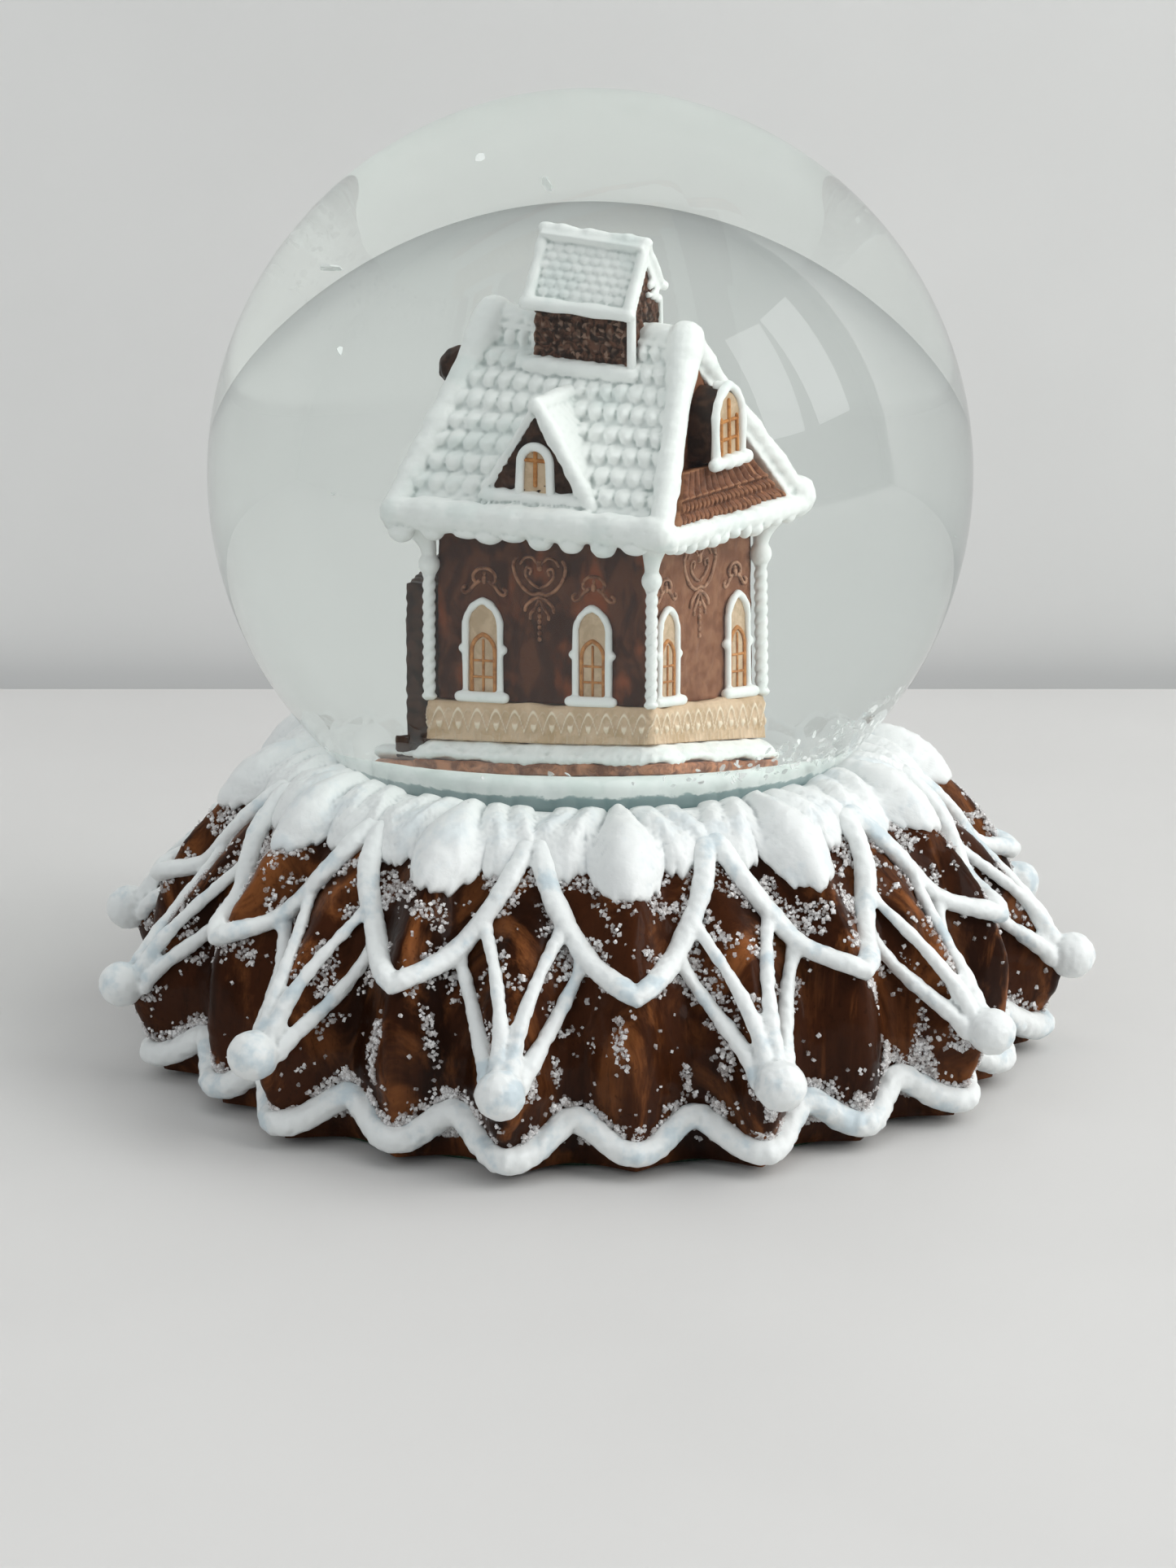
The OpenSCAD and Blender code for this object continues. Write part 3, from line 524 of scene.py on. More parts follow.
def wall_paint():
    """The house's walls: dark brown on the long walls with red patches; painted sheen makes the right gable
    lighter.
    """
    p = Paint("gingerbread_walls")
    brown = p.mix(p.band(p.noise(3.2, 4, 0.6, stretch=(1, 1, 0.6), distortion=0.8), 0.4, 0.62),
                  (0.045, 0.015, 0.0075), (0.11, 0.039, 0.02))
    red = p.band(p.noise(4.2, 3, 0.5, stretch=(1, 1, 0.55)), 0.53, 0.68, 0.0, 0.9)
    brown = p.mix(red, brown, (0.26, 0.07, 0.028))
    # Painted sheen: the right gable, which faces the window, is painted a lighter tan.
    lit_gable_brown = p.mix(p.band(p.noise(1.6, 4, 0.6), 0.35, 0.65), (0.2, 0.083, 0.044), (0.3, 0.14, 0.08))
    p.colour(p.mix(p.attribute("gable"), brown, lit_gable_brown))
    p.set(Roughness=p.band(p.noise(1.5, 3), 0.25, 0.75, 0.36, 0.6), Specular_IOR_Level=0.08)
    p.bump((p.noise(1.4, 3), 0.12), (p.noise(0.4, 2), 0.03))
    return p.material


def metal_paint(name, colour, rough, brushed=(1, 1, 1)):
    p = Paint(name)
    tone = p.band(p.noise(1.5, 4, stretch=brushed), 0.3, 0.7)
    p.colour(p.mix(tone, colour, tuple(0.8 * c for c in colour)))
    gloss = p.noise(0.8, 3, stretch=brushed)
    p.set(Metallic=1.0, Roughness=p.band(gloss, 0.3, 0.7, rough - 0.08, rough + 0.1))
    p.bump((p.noise(0.3, 2, stretch=brushed), 0.01))
    return p.material


def ground_paint():
    """White on top, with a ragged edge where the blue-green rim shows, darker towards its foot: painted
    shade.
    """
    p = Paint("frosted_ground")
    where = p.node("ShaderNodeSeparateXYZ")
    p.link(p.where, where.inputs[0])
    rough_height = p.math("ADD", where.outputs["Z"], p.math("MULTIPLY", p.noise(2.2, 4, 0.65), 2.4 * MM))
    snow = p.mix(p.band(p.noise(4, 3), 0.35, 0.65), (0.7, 0.77, 0.74), (0.8, 0.85, 0.83))
    # Painted shade: the rim's blue-green darkens towards its foot.
    rim = p.mix(p.band(where.outputs["Z"], 41.5 * MM, 45.5 * MM), (0.17, 0.27, 0.275), (0.47, 0.61, 0.595))
    p.colour(p.mix(p.band(rough_height, 43.6 * MM, 44.1 * MM), rim, snow))
    p.set(Roughness=p.band(p.noise(1.5, 3), 0.3, 0.7, 0.4, 0.65))
    p.bump((p.noise(1.5, 3), 0.05))
    return p.material


def flake_paint():
    """Thin translucent flakes, some clearer than others."""
    p = Paint("snow_flakes")
    own = p.node("ShaderNodeNewGeometry").outputs["Random Per Island"]
    p.colour(p.mix(own, (0.85, 0.9, 0.88), (1.0, 1.0, 1.0)))
    p.set(Roughness=p.band(p.noise(0.6, 2), 0.3, 0.7, 0.1, 0.35), Alpha=p.band(own, 0.0, 1.0, 0.25, 0.75))
    p.bump((p.noise(0.3, 1), 0.01))
    return p.material


def glass_paint():
    """Clear glass in air outside, and against the liquid inside, where it bends light far less. Lamps and
    soft light go straight through; only the camera and sharp reflections see it bend."""
    p = Paint("globe_glass")
    where = p.node("ShaderNodeSeparateXYZ")
    p.link(p.node("ShaderNodeNewGeometry").outputs["Position"], where.inputs[0])
    x2, y2 = (p.math("POWER", where.outputs[axis], 2.0) for axis in "XY")
    across = p.math("ADD", x2, y2)
    up = p.math("POWER", p.math("SUBTRACT", where.outputs["Z"], GLOBE_Z * MM), 2.0)
    distance = p.math("SQRT", p.math("ADD", across, up))
    outside = p.math("GREATER_THAN", distance, (GLOBE_R - GLASS_T / 2) * MM)
    against_liquid = GLASS_IOR / LIQUID_IOR
    ior = p.math("ADD", p.math("MULTIPLY", outside, GLASS_IOR - against_liquid), against_liquid)
    p.colour((0.992, 1.0, 0.997))
    p.set(Transmission_Weight=1.0, Roughness=0.0, IOR=ior, Specular_IOR_Level=0.5)
    path = p.node("ShaderNodeLightPath")
    either = p.math("MAXIMUM", path.outputs["Is Shadow Ray"], path.outputs["Is Diffuse Ray"])
    p.see_through(either, p.shader.outputs[0], (0.995, 0.998, 0.996))
    return p.material


def liquid_paint():
    """The liquid only tints what lies behind it, in faint clouds."""
    p = Paint("clear_liquid")
    clear = p.node("ShaderNodeBsdfTransparent")
    p.link(p.mix(p.noise(40, 2), (0.97, 0.992, 0.982), (0.985, 0.998, 0.99)), clear.inputs["Color"])
    p.link(clear.outputs[0], p.output.inputs["Surface"])
    return p.material


# The last colour of each icing is the painted shade in its creases.
ICING = icing_paint("icing_glaze", (0.83, 0.86, 0.855), (0.6, 0.69, 0.73), (0.42, 0.45, 0.45))
CREAM = icing_paint("piped_cream", (0.83, 0.855, 0.85), (0.74, 0.79, 0.805), (0.5, 0.54, 0.55), 0.36)
HOUSE_ICING = icing_paint("house_icing", (0.93, 0.94, 0.925), (0.85, 0.885, 0.87), (0.4, 0.455, 0.44), 0.45)
GINGERBREAD = gingerbread_paint()
SUGAR = sugar_paint()
WALLS = wall_paint()
COPPER = painted("copper_relief", (0.13, 0.045, 0.022), (0.4, 0.19, 0.105), 1.2, 0.4)
# The copper again, lighter with painted sheen, for the scrolls on the right gable.
LIT_COPPER = painted("lit_copper_relief", (0.25, 0.12, 0.07), (0.5, 0.28, 0.18), 1.0, 0.4)
PANES = painted("window_beige", (0.5, 0.36, 0.235), (0.64, 0.48, 0.33), 1.5, 0.45)
BARS = painted("window_bars", (0.38, 0.15, 0.045), (0.58, 0.26, 0.085), 0.9, 0.45)
# Painted shade in the skirting's creases, and painted highlight on its pressed pattern.
CREAM_PAINT = painted("skirting_cream", (0.6, 0.43, 0.28), (0.72, 0.53, 0.37), 2.5, 0.45,
                      crease_shade=(0.5, 0.34, 0.21), relief_highlight=(0.93, 0.8, 0.64))
# Painted shade in the board's creases.
BOARD = painted("plinth_board", (0.2, 0.075, 0.038), (0.58, 0.26, 0.14), 1.6, 0.5, crease_shade=(0.08, 0.03, 0.015))
# Painted shade between the tiles, and painted highlight on their edges.
TILES = painted("canopy_tiles", (0.13, 0.05, 0.027), (0.26, 0.11, 0.06), 1.2, 0.42,
                crease_shade=(0.04, 0.015, 0.008), raised=(0.45, 0.22, 0.12))
# Painted highlight on the cupola walls' edges.
MOTTLED = painted("mottled_brown", (0.026, 0.013, 0.009), (0.13, 0.06, 0.038), 0.9, 0.42,
                  low=0.42, high=0.62, raised=(0.3, 0.19, 0.14))
DARK_BROWN = painted("chimney_brown", (0.022, 0.012, 0.008), (0.07, 0.035, 0.023), 1.5, 0.45)
SNOW = painted("powder_snow", (0.62, 0.7, 0.7), (0.8, 0.86, 0.85), 3.0, 0.7, depth=0.15)
GROUND = ground_paint()
FLAKES = flake_paint()
GLASS = glass_paint()
LIQUID = liquid_paint()
BRASS = metal_paint("turned_brass", (0.72, 0.5, 0.2), 0.3)
ZINC = metal_paint("zinc_plate", (0.62, 0.63, 0.64), 0.35, (6, 1, 1))
SPRING = metal_paint("blued_steel", (0.2, 0.22, 0.27), 0.3, (1, 8, 1))
FELT = painted("green_felt", (0.02, 0.05, 0.03), (0.05, 0.1, 0.065), 0.5, 0.95, depth=0.2)
CARD = painted("cover_board", (0.3, 0.2, 0.11), (0.42, 0.3, 0.18), 0.8, 0.85, depth=0.08)
RUBBER = painted("black_rubber", (0.01, 0.01, 0.01), (0.03, 0.03, 0.03), 1.0, 0.7)
NYLON = painted("moulded_nylon", (0.7, 0.68, 0.6), (0.8, 0.78, 0.7), 2.0, 0.5, depth=0.02)


# ---------- Base: the fluted skirt ----------

def bezier(a, b, c, d, t):
    t = np.asarray(t, float)[..., None]
    return a * (1 - t)**3 + 3 * b * t * (1 - t)**2 + 3 * c * t * t * (1 - t) + d * t**3


def section(brow, shoulder, belly, foot_r, s):
    """An upright section of the skirt: s runs from 0 at the ring to 1 at the belly and 2 at the hem."""
    s = np.asarray(s, float)
    belly = np.array(belly, float)
    upper = bezier(RING, RING + brow, belly + shoulder, belly, np.clip(s, 0, 1))
    lower = bezier(belly, belly - (0, 4), np.array([foot_r + 0.5, GAP + 3]), np.array([foot_r, GAP]),
                   np.clip(s - 1, 0, 1))
    return np.where(s[..., None] <= 1, upper, lower)


def hollow_share(a, s=2.0):
    """0 on a fold's crest and 1 in the hollow beside it. The crests are rounder above than at the hem."""
    soft = 0.004 + 0.13 * smooth_step(1.9 - s, 0, 0.9)
    sharp = np.sin(np.radians(FOLDS * np.asarray(a)))**2
    return (np.sqrt(sharp + soft) - np.sqrt(soft)) / (np.sqrt(1 + soft) - np.sqrt(soft))


def around(a, r, z):
    """Points at radius r and height z. a is degrees from a pearl."""
    t = np.radians(np.asarray(a, float) + FOLD_TURN)
    r, z = np.broadcast_to(r, t.shape), np.broadcast_to(z, t.shape)
    return np.stack([r * np.sin(t), -r * np.cos(t), z], -1)


def skirt(a, s):
    """The skirt's surface. a is degrees from a pearl fold."""
    a, s = np.broadcast_arrays(np.asarray(a, float), np.asarray(s, float))
    pearl = section((9.5, -2), (-3, 8), (63.6, 12), 59.6, s)
    petal = section((13, -1.5), (0.5, 12), (59.2, 12), 57.6, s)
    hollow = section((10.5, -2.5), (-0.6, 9), (55.6, 11), 54.4, s)
    fold = np.where((np.cos(np.radians(FOLDS * a)) > 0)[..., None], pearl, petal)
    share = hollow_share(a, s)[..., None]
    rz = fold * (1 - share) + hollow * share
    return around(a, rz[..., 0], rz[..., 1])


def on_skirt(a, s, lift):
    """A point standing lift mm off the skirt."""
    a, s = np.broadcast_arrays(np.asarray(a, float), np.asarray(s, float))
    u = skirt(a + 0.5, s) - skirt(a - 0.5, s)
    v = skirt(a, s + 0.01) - skirt(a, s - 0.01)
    return skirt(a, s) + np.asarray(lift, float)[..., None] * unit(np.cross(v, u))


def glass_at(z):
    """Radius of a hole that just clears the glass ball at height z."""
    return math.sqrt(GLOBE_R**2 - (GLOBE_Z - z)**2) + 0.3


def base_casting():
    a = np.arange(0, 360, 0.5)
    s = np.concatenate([np.linspace(0, 1, 54), np.linspace(1, 2, 34)[1:]])
    aa, ss = np.meshgrid(a, s)
    outside = on_skirt(aa, ss, 0.0)
    lift = 0.16 * lumps(outside * (1, 1, 0.4), 6, 3) + 0.05 * lumps(outside, 1.8, 4)
    edge = smooth_step(ss, 0, 0.1) * smooth_step(2 - ss, 0, 0.1)
    outside = on_skirt(aa, ss, lift * edge)
    rim = glass_at(RING[1])
    seat = [(SEAT_R, SEAT_Z), (SEAT_R, RING[1] - 0.9), (rim, RING[1] - 0.9), (rim, RING[1])]
    under = [(COVER_R, GAP), (COVER_R, COVER_TOP), (CAVITY_R, COVER_TOP), (CAVITY_R, CAVITY_TOP)]
    rings = [around(a, r, z) for r, z in seat] + list(outside) + [around(a, r, z) for r, z in under]
    body = piece("gingerbread_base", capped(rings), GINGERBREAD, "gingerbread", ["base_casting"], sharp=50)
    # The fold crests are marked for the paint, which puts painted highlight on them and painted shade in the
    # hollows.
    ridge = np.zeros(len(body.data.vertices), np.float32)
    start = len(seat) * len(a)
    ridge[start:start + aa.size] = (1 - hollow_share(aa, ss)).ravel()
    mark(body, "ridge", ridge)


# ---------- Base: icing lines, pearls and cream ----------

PETAL_TOP, PETAL_TIP, PETAL_HALF = 0.19, 0.705, 12.6
# Each line of a fan: degrees from the pearl and s at its foot, the same where it meets a petal, its bend,
# and its radius at each end.
FAN_LINES = ((1.35, 0.95, 8.9, 0.57, 1.5, 1.4, 0.9), (0.5, 0.93, 5.7, 0.452, 2.6, 1.4, 0.82))
PEARL_R = 3.1


def wobble(count, seed, amount):
    """A radius factor that drifts along a line piped by hand."""
    t = np.linspace(0, 1, count)
    random = np.random.default_rng(seed)
    waves = sum(np.sin(TAU * f * t + random.uniform(0, TAU)) * random.uniform(0.4, 1)
                for f in (1, 2.3, 4.1, 7.7))
    return 1 + amount * waves / 2


def petal_path(fold):
    v = np.concatenate([np.linspace(0, 1, 26), np.linspace(1, 0, 26)[1:]])
    side = np.concatenate([-np.ones(26), np.ones(25)])
    angle = side * (PETAL_HALF * (1 - v**2)**1.15 + 1.2 * (1 - v)**4)
    return on_skirt(fold * PITCH + PITCH / 2 + angle, PETAL_TOP + v * (PETAL_TIP - PETAL_TOP), 0.75)


def fan_path(fold, side, line):
    foot_angle, foot_s, end_angle, end_s, bend, _, _ = FAN_LINES[line]
    v = np.linspace(0, 1, 26)
    lean = 0.35 * math.sin(fold * 2.3 + line * 1.9 + side)
    a = fold * PITCH + side * (foot_angle + (end_angle - foot_angle) * v**bend) + lean * np.sin(math.pi * v)
    return on_skirt(a, foot_s + v * (end_s - foot_s), 0.5 + 0.2 * v)


def wave_path():
    a = np.arange(0, 360, 0.75)
    return on_skirt(a, 1.71 - 0.37 * hollow_share(a)**2, 0.75)


def icing_lines():
    shapes = Shapes()
    for fold in range(FOLDS):
        path = petal_path(fold)
        tip = 1 + 0.12 * np.exp(-((np.arange(len(path)) - 25) / 5.0)**2)
        shapes.add(tube(path, 1.42 * wobble(len(path), 10 + fold, 0.1) * tip, 14, flat=0.8))
        for side in (-1, 1):
            for line in (0, 1):
                seed = 100 + fold * 4 + line * 2 + (side > 0)
                path = fan_path(fold, side, line)
                thick, thin = FAN_LINES[line][5:]
                v = np.linspace(0, 1, len(path))
                radius = (thin + (thick - thin) * (1 - v)**2) * wobble(len(path), seed, 0.13)
                radius[-3:] *= (1.05, 1.2, 1.4)
                shapes.add(tube(path, radius, 12, flat=0.9))
        reach = np.linspace(0.955, 0.75, 12)
        for share in (-0.75, -0.25, 0.25, 0.75):
            spread, thick = (np.interp(reach, (0.75, 0.955), ends) for ends in ((1.5, 1.15), (0.35, 1.1)))
            shapes.add(tube(on_skirt(fold * PITCH + spread * share, reach, 0.35), thick, 10))
        centre = on_skirt(fold * PITCH, 0.98, 1.6)
        size = PEARL_R * (1 + 0.03 * math.sin(fold * 2.4))
        shapes.add(ball(centre, (size, size, size * 0.97), 28, 18))
    piece("piped_petals_and_pearls", shapes, ICING, "icing",
          ["petal_piping", "fan_piping", "pearls"], melt=0.26, relax=5, push=uneven(0.045, 1.6, 21))
    path = wave_path()
    wave = Shapes().add(tube(path, 1.78 * wobble(len(path), 5, 0.1)[::-1], 16, closed=True))
    piece("piped_wave", wave, ICING, "icing", ["wave_piping"], melt=0.32, relax=3,
          push=uneven(0.07, 2.0, 31))


# Lobes of one shell of cream. Each has its middle and half width at the glass, the same at its foot (all
# in degrees from the petal's middle), how far down it reaches, and its height.
LOBES = ((0.0, 2.0, 0.3, 6.0, 0.39, 2.6), (5.0, 2.8, 8.8, 4.3, 0.29, 2.0), (-5.2, 2.9, -9.3, 4.5, 0.3, 2.1),
         (10.2, 2.7, 13.6, 3.2, 0.245, 1.7), (-10.4, 2.6, -14.0, 3.0, 0.23, 1.6))


def cream_garland():
    a = np.arange(0, 360, 0.3)
    from_petal = np.mod(a, PITCH) - PITCH / 2
    which = np.floor(a / PITCH)
    local = from_petal + 0.9 * np.sin(which * 2.1) * np.cos(np.radians(from_petal / 15 * 90))
    reach = np.full(len(a), 0.17)
    for _, _, centre, half, far, _ in LOBES:
        far = far * (1 + 0.06 * np.sin(which * 1.7 + centre))
        reach = np.maximum(reach, far * (1 - 0.3 * np.abs((local - centre) / half)**2.4))
    edge_points = around(a, 48, 34)
    ragged = 0.009 * lumps(edge_points, 2.4, 41) + 0.007 * lumps(edge_points, 1.1, 42)
    crest = np.zeros(len(a))
    for centre, half, _, _, _, _ in LOBES:
        crest = np.maximum(crest, np.clip(1 - ((local - centre) / half)**2, 0, None)**0.5)
    low, high = RING[1] - 0.3, RING[1] + 0.75
    rows = [around(a, glass_at(low), low), around(a, glass_at(high) + 0.15, high + 0.9 * crest)]
    for v in np.linspace(0, 1, 46):
        cubes = np.full(len(a), 0.6**3)
        spread = smooth_step(v, -0.15, 0.85)
        for top_centre, top_half, centre, half, _, tall in LOBES:
            middle = top_centre + (centre - top_centre) * spread
            across = (local - middle) / (1.1 * (top_half + (half - top_half) * spread))
            facets = 1 + 0.05 * np.cos(6.5 * across + 0.4 * which) * smooth_step(v, 0.1, 0.4)
            cubes += (tall * facets * np.clip(1 - across**2, 0, None)**0.75)**3
        height = np.cbrt(cubes)
        rise = 0.62 + 0.38 * math.sin(math.pi * min(1, 0.08 + v * 1.05))
        fall = (1 - v**6)**0.5
        lift = height * rise * fall + 0.3 * fall
        s = v * reach + ragged * v**9
        points = on_skirt(a, s, lift)
        noise = 0.09 * lumps(points, 2.6, 43) + 0.05 * lumps(points, 1.0, 44)
        rows.append(on_skirt(a, s, lift + noise * fall - 0.25 * (v == 1)))
    rows.append(on_skirt(a, 0.5 * reach, np.full(len(a), -0.4)))
    shape = np.vstack(rows), grid_faces(len(rows), len(a), True, True)
    piece("whipped_cream_garland", shape, CREAM, "icing", ["cream_garland"])


# ---------- Base: sugar ----------

GRAIN = 0.23                           # half the side of a grain, in mm
GRAINS_TRIED = 170000


def grains(places, normals, size, seed):
    """One mesh of many small rough cubes, each turned its own way."""
    random = np.random.default_rng(seed)
    count = len(places)
    turn = unit(random.normal(size=(count, 4)))[:, None]
    extent = size * random.uniform(0.55, 1.15, (count, 1)) * random.uniform(0.7, 1.15, (count, 3))
    shape = CUBE * extent[:, None] * random.uniform(0.75, 1.1, (count, 8, 1))
    shape += 2 * np.cross(turn[..., 1:], np.cross(turn[..., 1:], shape) + turn[..., :1] * shape)
    points = shape + (places + normals * size * 0.35)[:, None]
    faces = np.array(CUBE_FACES) + np.arange(count)[:, None, None] * 8
    return points.reshape(-1, 3), faces.reshape(-1, 4).tolist()


def distances(places, path):
    """How far each place is from the nearest point of the path."""
    tree = KDTree(len(path))
    for i, point in enumerate(path):
        tree.insert(point, i)
    tree.balance()
    return np.array([tree.find(p)[2] for p in places])


def sugar():
    """Sugar that caught in the wet icing: beside the lines, in patches inside the petals and in streaks."""
    random = np.random.default_rng(7)
    a = random.uniform(0, 360, GRAINS_TRIED)
    s = 0.12 + 1.58 * random.uniform(0, 1, GRAINS_TRIED)**0.92
    places = skirt(a, s)
    lines = [petal_path(f) for f in range(FOLDS)]
    lines += [fan_path(f, side, line) for f in range(FOLDS) for side in (-1, 1) for line in (0, 1)]
    to_line, to_wave = distances(places, np.vstack(lines)), distances(places, wave_path())
    wide, fine = lumps(places, 8, 8), lumps(places, 3.0, 9)
    chance = 0.006 + 0.05 * smooth_step(fine, 0.6, 1.3)
    beside = np.exp(-((to_line - 1.7) / 0.75)**2)
    chance += 0.75 * beside * smooth_step(wide + 0.7 * fine, -0.2, 0.7)
    from_petal = np.abs(np.mod(a, PITCH) - PITCH / 2)
    in_petal = (s < 0.64) * smooth_step(11 - from_petal, 0, 2)
    chance += 1.1 * in_petal * smooth_step(wide + 0.6 * fine, 0.3, 0.9)
    chance += 0.8 * np.exp(-((to_wave - 2.0) / 0.8)**2) * (s < 1.68) * smooth_step(fine, -0.8, 0.5)
    streaks = lumps(places * (1, 1, 0.5), 5.5, 12)
    chance += 1.1 * smooth_step(streaks, 0.8, 1.1) * smooth_step(s, 0.55, 0.7)
    chance += 0.5 * smooth_step(0.5 - s, 0, 0.15) * smooth_step(fine, -0.2, 0.8)
    chance *= (to_line > 0.85) * (to_wave > 1.3)
    keep = random.uniform(0, 1, GRAINS_TRIED) < chance
    out = on_skirt(a[keep], s[keep], 1.0) - places[keep]
    piece("sugar_grains", grains(places[keep], out, GRAIN, 11), SUGAR, "icing", smooth=False)


# ---------- Globe ----------

def lathe(profile, sides=192):
    """Rings of points from a profile of [r, z]."""
    angle = np.linspace(0, TAU, sides, endpoint=False)
    rings = [np.stack([r * np.cos(angle), r * np.sin(angle), np.full(sides, z)], -1) for r, z in profile]
    return np.array(rings)


def arc(radius, from_z, to_z, steps):
    """Points [r, z] on a sphere about the globe's centre."""
    start, end = (math.acos(np.clip((z - GLOBE_Z) / radius, -1, 1)) for z in (from_z, to_z))
    t = np.linspace(start, end, steps)
    return [(max(radius * math.sin(x), 1e-3), GLOBE_Z + radius * math.cos(x)) for x in t]


def globe():
    inner_r = GLOBE_R - GLASS_T
    neck_in = NECK_R - GLASS_T
    meet_out = GLOBE_Z - math.sqrt(GLOBE_R**2 - NECK_R**2)
    meet_in = GLOBE_Z - math.sqrt(inner_r**2 - neck_in**2)
    profile = arc(GLOBE_R, GLOBE_Z + GLOBE_R, meet_out, 120)
    profile += [(NECK_R, NECK_Z + 0.2), (NECK_R - 0.2, NECK_Z),
                (neck_in + 0.2, NECK_Z), (neck_in, NECK_Z + 0.2)]
    profile += arc(inner_r, meet_in, GLOBE_Z + inner_r, 120)
    piece("glass_ball", capped(lathe(profile)), GLASS, "clear_glass", ["glass_globe"])
    fill_r, floor = inner_r - 0.1, GROUND_Z + 0.6
    fill = lathe([(1e-3, floor)] + arc(fill_r, floor, GLOBE_Z + fill_r, 60), 96)
    piece("clear_liquid", capped(fill), LIQUID, "liquid", ["liquid_fill"])


def snowy_ground():
    """The ground under the house: a smooth bank of snow, frosted over a blue-green rim."""
    rim = ((0.6, 38.5), (0.1, 39.2), (0, 40.5), (0, 42.0), (0, 43.4), (0.1, 44.3), (0.5, 45.1), (1.3, 45.65))
    profile = [(0.01, 38.5)] + [(GROUND_R - inset, z) for inset, z in rim]
    profile += [(28, 45.9), (26, 45.95), (22, GROUND_Z), (10, GROUND_Z), (0.01, GROUND_Z)]
    rings = lathe(profile, 240)
    push = 0.1 * lumps(rings, 5, 51) + 0.03 * lumps(rings, 1.4, 52)
    rings[..., 2] += np.clip(push * smooth_step(rings[..., 2], 42, 45), -0.3, 0.02)
    radius = np.maximum(np.linalg.norm(rings[..., :2], axis=-1, keepdims=True), 1e-6)
    rings[..., :2] *= 1 + (0.1 * lumps(rings, 5, 53) * smooth_step(rings[..., 2], 40, 44))[..., None] / radius
    piece("snowy_ground", capped(rings), GROUND, "snow", ["snow_ground"])


FLAKES_TRIED, FLAKES_ADRIFT = 3600, 8
FLAKE_T = 0.1                          # a flake's thickness


def loose_snow():
    """Flakes that have settled where the ground meets the glass, most of them in a drift on the right."""
    random = np.random.default_rng(77)
    angle = random.uniform(0, TAU, FLAKES_TRIED)
    drift = np.clip(np.cos(angle - math.radians(-8)), 0, 1)**2.2
    r = random.uniform(27.5, 41.5, FLAKES_TRIED)
    lowest = GLOBE_Z - np.sqrt((GLOBE_R - GLASS_T - 0.6)**2 - r**2)
    ground = np.where(r < GROUND_R + 0.3, 46.15, 43.5)
    top = 45.4 + 6.6 * drift * smooth_step(r, 28.5, 40)
    z = np.maximum(lowest, ground) + 0.15
    z += np.clip(top - z, 0, None) * random.uniform(0, 1, FLAKES_TRIED)
    share = 0.01 + 0.9 * drift * smooth_step(r, 28, 34)
    places = np.stack([r * np.cos(angle), r * np.sin(angle), z], -1)
    keep = (random.uniform(0, 1, FLAKES_TRIED) < share) & (z > lowest + 0.1)
    keep &= (z < top + 0.4 + (r < GROUND_R)) & (lumps(places, 6, 78) > -0.7)
    adrift = unit(random.normal(size=(40, 3))) * random.uniform(30, 44, (40, 1)) + (0, 0, GLOBE_Z)
    adrift = adrift[(adrift[:, 2] > 60) & ((adrift[:, 1] > 5) | (np.abs(adrift[:, 0]) > 25))]
    shapes = Shapes()
    corner = np.radians(np.arange(0, 360, 60))
    for place in np.vstack([places[keep], adrift[:FLAKES_ADRIFT]]):
        size = random.uniform(0.3, 0.75)
        tilt = unit(random.normal(size=3))
        side = unit(np.cross(tilt, (0.3, 0.5, 0.8)))
        edge = np.cos(corner)[:, None] * side + np.sin(corner)[:, None] * np.cross(tilt, side)
        edge *= size * random.uniform(0.6, 1.15, (6, 1))
        shapes.add(prism(place + edge + tilt * FLAKE_T / 2, place + edge - tilt * FLAKE_T / 2))
    piece("loose_snow", shapes, FLAKES, "snow", ["snow_flakes"], smooth=False)


# ---------- House: x runs along the ridge, and -y faces the front ----------

def in_globe(points):
    """From the house's own axes to the frame."""
    points = np.asarray(points, float)
    c, s = math.cos(-HOUSE_TURN), math.sin(-HOUSE_TURN)
    x, y, z = points[..., 0], points[..., 1], points[..., 2]
    return np.stack([x * c - y * s, x * s + y * c, z], -1) + HOUSE_AT


def house_piece(*args, **options):
    return piece(*args, place=in_globe, **options)


# Each wall is a point under it on the table, the way along it and the way out of it.
FRONT = ((0, -WALL_T, 0), (1, 0, 0), (0, -1, 0))
BACK = ((0, WALL_T, 0), (-1, 0, 0), (0, 1, 0))
RIGHT = ((WALL_S, 0, 0), (0, 1, 0), (1, 0, 0))
WINDOW_PLACES = [(wall, u) for wall, row in ((FRONT, WINDOWS_S), (BACK, WINDOWS_S), (RIGHT, WINDOWS_T))
                 for u in row]


def on_wall(wall, along, up, out):
    """A point on a wall: along it, up from the table and out from its face."""
    origin, side, face = (np.array(x, float) for x in wall)
    along, up, out = (x[..., None] for x in np.broadcast_arrays(along, up, out))
    return origin + along * side + up * np.array([0, 0, 1.0]) + out * face


def face_lines(shapes, wall, lines, **options):
    """Adds thin lines to a wall's face: each is (along, up, out, radius)."""
    for along, up, out, radius in lines:
        shapes.add(tube(on_wall(wall, along, up, out), radius, 8, **options))


def pointed_arch(half, height, steps=9, point=1.4):
    """The outline of a pointed arch, from its left foot to its right. point is 1 for a round one."""
    spring = height - half * math.sqrt(2 * point - 1)
    angle = np.linspace(math.pi, math.acos(-(point - 1) / point), steps)
    left = np.stack([(point - 1 + point * np.cos(angle)) * half, spring + point * half * np.sin(angle)], -1)
    left = np.vstack([[-half, 0], [-half, spring * 0.5], left])
    right = left[::-1][1:] * (-1, 1)
    return np.vstack([left, right])


